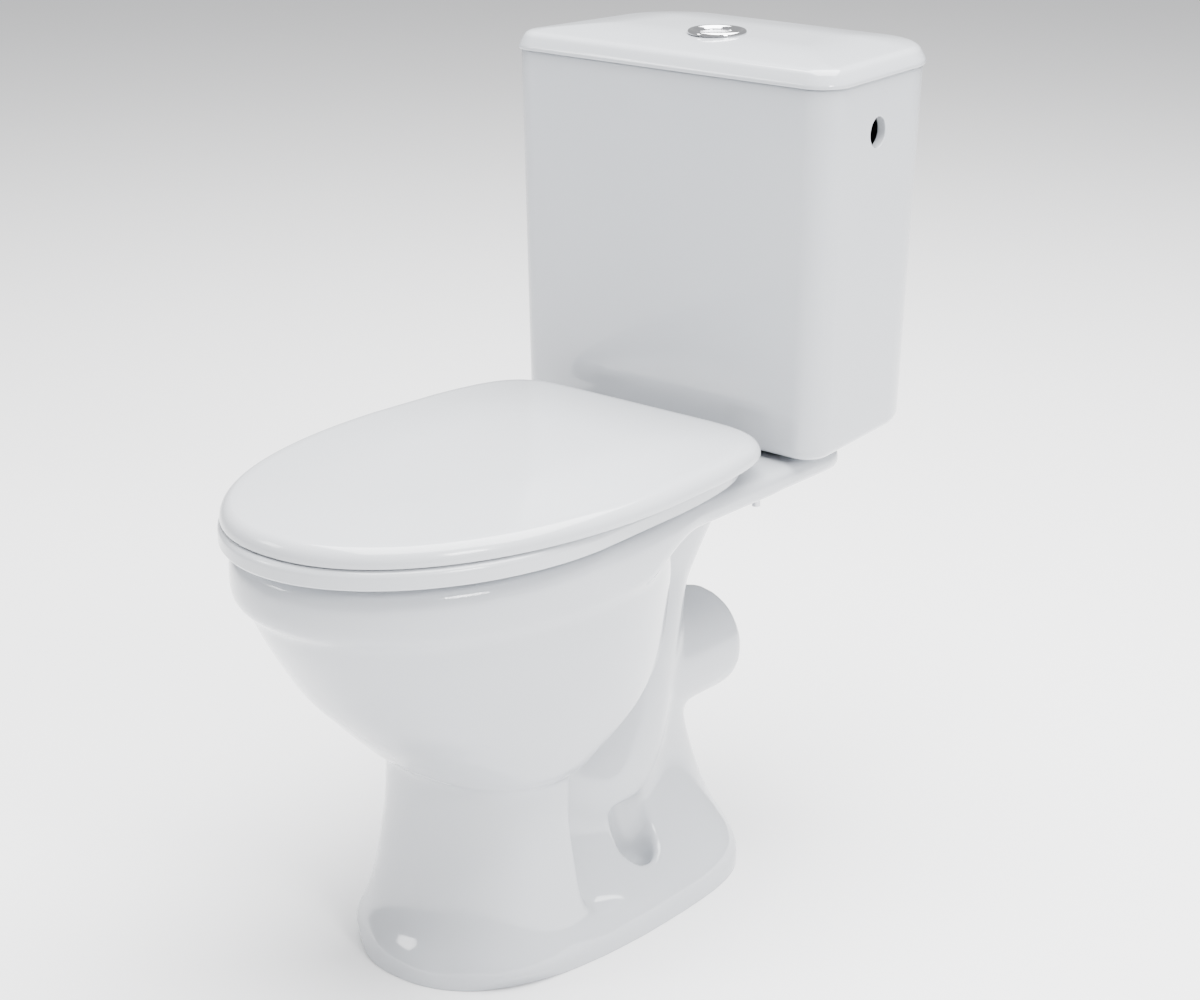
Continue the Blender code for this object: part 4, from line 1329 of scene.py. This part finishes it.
# ---------------------------------------------------------------- hinges
@dataclass
class Hinges:
    """The chromed hinge posts and their pins."""

    x: float = 0.0775
    y: float = 0.100
    z: float = 0.418
    deck: float = 0.3998

    def build(self) -> list[bpy.types.Object]:
        """Build both posts and both pins."""
        made = []
        for side, sign in (("right", 1), ("left", -1)):
            made.append(self.post(side, sign * self.x))
            made.append(self.pin(side, sign * self.x))
        return made

    def post(self, side: str, x: float) -> bpy.types.Object:
        """Return one post: flared foot, barrel and threaded stud.

        Args:
            side: right or left.
            x: where it stands.
        """
        work = bmesh.new()
        profile = [(0.0, 0.3420), (0.0030, 0.3420), (0.0036, 0.3428)]
        height = 0.3440
        while height < self.deck - 0.003:
            profile += [(0.0039, height), (0.0034, height + 0.0006)]
            height += 0.0012
        profile += [
            (0.0038, self.deck - 0.001), (0.0038, self.deck), (0.0120, self.deck),
            (0.0125, self.deck + 0.0005), (0.0125, 0.4010),
        ]
        for sine, cosine in arc(0, 90, 8, 1, 7):
            profile.append((0.0125 - 0.0045 * sine, 0.4050 - 0.0040 * cosine))
        profile += [(0.0080, 0.4060), (0.0080, self.z), (0.0, self.z)]
        round_skin(work, profile, Matrix.Translation((x, self.y, 0)), 48)
        barrel = bmesh.new()
        round_skin(
            barrel,
            [
                (0.0, -0.0095), (0.0084, -0.0095), (0.0090, -0.0089), (0.0090, 0.0089),
                (0.0084, 0.0095), (0.0, 0.0095),
            ],
            Matrix.Translation((x, self.y, self.z)) @ Axis.X.turn(),
            48,
        )
        bore = bmesh.new()
        cross_bar(bore, PIN_BORE, (x, self.y, self.z), 0.02, 32)
        mesh = carved(close(work, "post"), [close(barrel, "barrel")], "UNION")
        mesh = carved(mesh, [close(bore, "bore")], "DIFFERENCE")
        return place_piece(
            f"hinge_post_{side}_chromed", mesh, BRIGHT_CHROME, Body.FRAME, f"hinge_post_{side}", 38.0,
        )

    def pin(self, side: str, x: float) -> bpy.types.Object:
        """Return one pin with softened ends."""
        work = bmesh.new()
        profile = [
            (0.0, -0.0200), (0.0036, -0.0200), (0.0040, -0.0196), (0.0040, 0.0196), (0.0036, 0.0200),
            (0.0, 0.0200),
        ]
        round_skin(work, profile, Matrix.Translation((x, self.y, self.z)) @ Axis.X.turn(), 32)
        return place_piece(
            f"hinge_pin_{side}_turned", close(work, "pin"), ZINC, Body.FRAME, f"hinge_pin_{side}", 38.0,
        )


# ---------------------------------------------------------------- small parts
@dataclass
class SmallParts:
    """Valve parts and fixings that keep the frame's own shapes."""

    nodes: dict[str, bpy.types.Object]
    classes: dict[str, str]
    finishes: dict[str, Finish] = field(
        default_factory=lambda: {
            "rubber": SEAL_RUBBER,
            "matte_plastic": VALVE_PLASTIC,
            "brushed_steel": ZINC,
            "chrome": BRIGHT_CHROME,
            "gloss_plastic": SEAT_RESIN,
        }
    )

    def dress(self, replaced: set[str]) -> int:
        """Give every remaining frame node its finish and a broken edge.

        Args:
            replaced: nodes that finished pieces stand for.

        Returns:
            How many nodes were dressed.
        """
        count = 0
        for name, item in self.nodes.items():
            if name in replaced:
                continue
            finish = self.finishes.get(self.classes.get(name, ""), GLAZE)
            if name == "float_cup":
                finish = FLOAT_PLASTIC
            for entry in item.material_slots:
                entry.material = finish.material()
            soft_edges(item, 0.0003, 2, 50.0)
            count += 1
        return count


# ---------------------------------------------------------------- studio
@dataclass
class Studio:
    """Pale floor, soft lights and the camera."""

    azimuth: float = 40.0
    elevation: float = 19.37
    distance: float = 2.021
    target: Place = (0.1223, -0.0899, 0.4253)
    lens: float = 75.6

    def build(self) -> None:
        """Set the floor, the lights, the sky and the camera."""
        self.floor()
        self.sky()
        self.lamp("key_softbox", (2.5, -0.6, 1.9), (0.0, 0.0, 0.35), 0.7, 60.0)
        self.lamp("front_softbox", (-1.9, -2.0, 1.9), (0.0, 0.0, 0.30), 0.7, 22.0)
        self.lamp("top_softbox", (0.3, 0.4, 3.0), (0.0, 0.0, 0.0), 3.0, 480.0)
        self.camera()

    def floor(self) -> None:
        """Lay a wide pale floor under the object."""
        work = bmesh.new()
        bmesh.ops.create_grid(work, x_segments=1, y_segments=1, size=12.0)
        floor = shown("studio_floor", close(work, "studio_floor"))
        floor.location = (0, 0, -0.0002)
        made = bpy.data.materials.new("pale_floor")
        made.use_nodes = True
        shader = made.node_tree.nodes["Principled BSDF"]
        shader.inputs["Base Color"].default_value = (0.95, 0.95, 0.955, 1.0)
        shader.inputs["Roughness"].default_value = 0.65
        floor.data.materials.append(made)

    def sky(self) -> None:
        """Fill the room with even white light."""
        world = bpy.data.worlds.new("white_room")
        bpy.context.scene.world = world
        world.use_nodes = True
        back = world.node_tree.nodes["Background"]
        back.inputs["Color"].default_value = (0.97, 0.98, 1.0, 1.0)
        back.inputs["Strength"].default_value = 0.60

    def lamp(self, name: str, place: Place, aim: Place, size: float, power: float) -> None:
        """Hang one square softbox.

        Args:
            name: the lamp's name.
            place: where it hangs.
            aim: what it faces.
            size: the side of its square.
            power: its strength in watts.
        """
        data = bpy.data.lights.new(name, "AREA")
        data.energy = power
        data.size = size
        lamp = bpy.data.objects.new(name, data)
        lamp.location = place
        lamp.rotation_euler = (Vector(aim) - Vector(place)).to_track_quat("-Z", "Y").to_euler()
        bpy.context.scene.collection.objects.link(lamp)

    def camera(self) -> None:
        """Stand the camera at its angle and distance from the target."""
        turn, rise = math.radians(self.azimuth), math.radians(self.elevation)
        away = Vector((math.sin(turn) * math.cos(rise), -math.cos(turn) * math.cos(rise), math.sin(rise)))
        data = bpy.data.cameras.new("studio_camera")
        data.lens = self.lens
        data.sensor_width = 36.0
        data.sensor_fit = "HORIZONTAL"
        camera = bpy.data.objects.new("studio_camera", data)
        camera.location = Vector(self.target) + away * self.distance
        camera.rotation_euler = (math.pi / 2 - rise, 0.0, turn)
        bpy.context.scene.collection.objects.link(camera)
        bpy.context.scene.camera = camera


def main() -> None:
    """Build every assembly around the frame, in order."""
    logging.basicConfig(level=logging.INFO, format="%(message)s")
    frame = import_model()
    Studio().build()
    Pan().build()
    cistern = Cistern()
    cistern.build_body()
    cistern.build_lid()
    PushButton().build()
    seat = Seat()
    seat.build_ring()
    seat.build_cover()
    seat.build_buffers()
    Hinges().build()
    record = frame["record"]
    classes = {entry["slot"]: entry["class"] for entry in record["materials"]}
    slots = {entry["node"]: entry["material_slot"] for entry in record["subparts"]}
    replaced = {name for name, item in frame["nodes"].items() if item.hide_render}
    parts = SmallParts(frame["nodes"], {node: classes[slot] for node, slot in slots.items()})
    LOG.info("small parts dressed: %d", parts.dress(replaced))


if __name__ == "__main__":
    main()
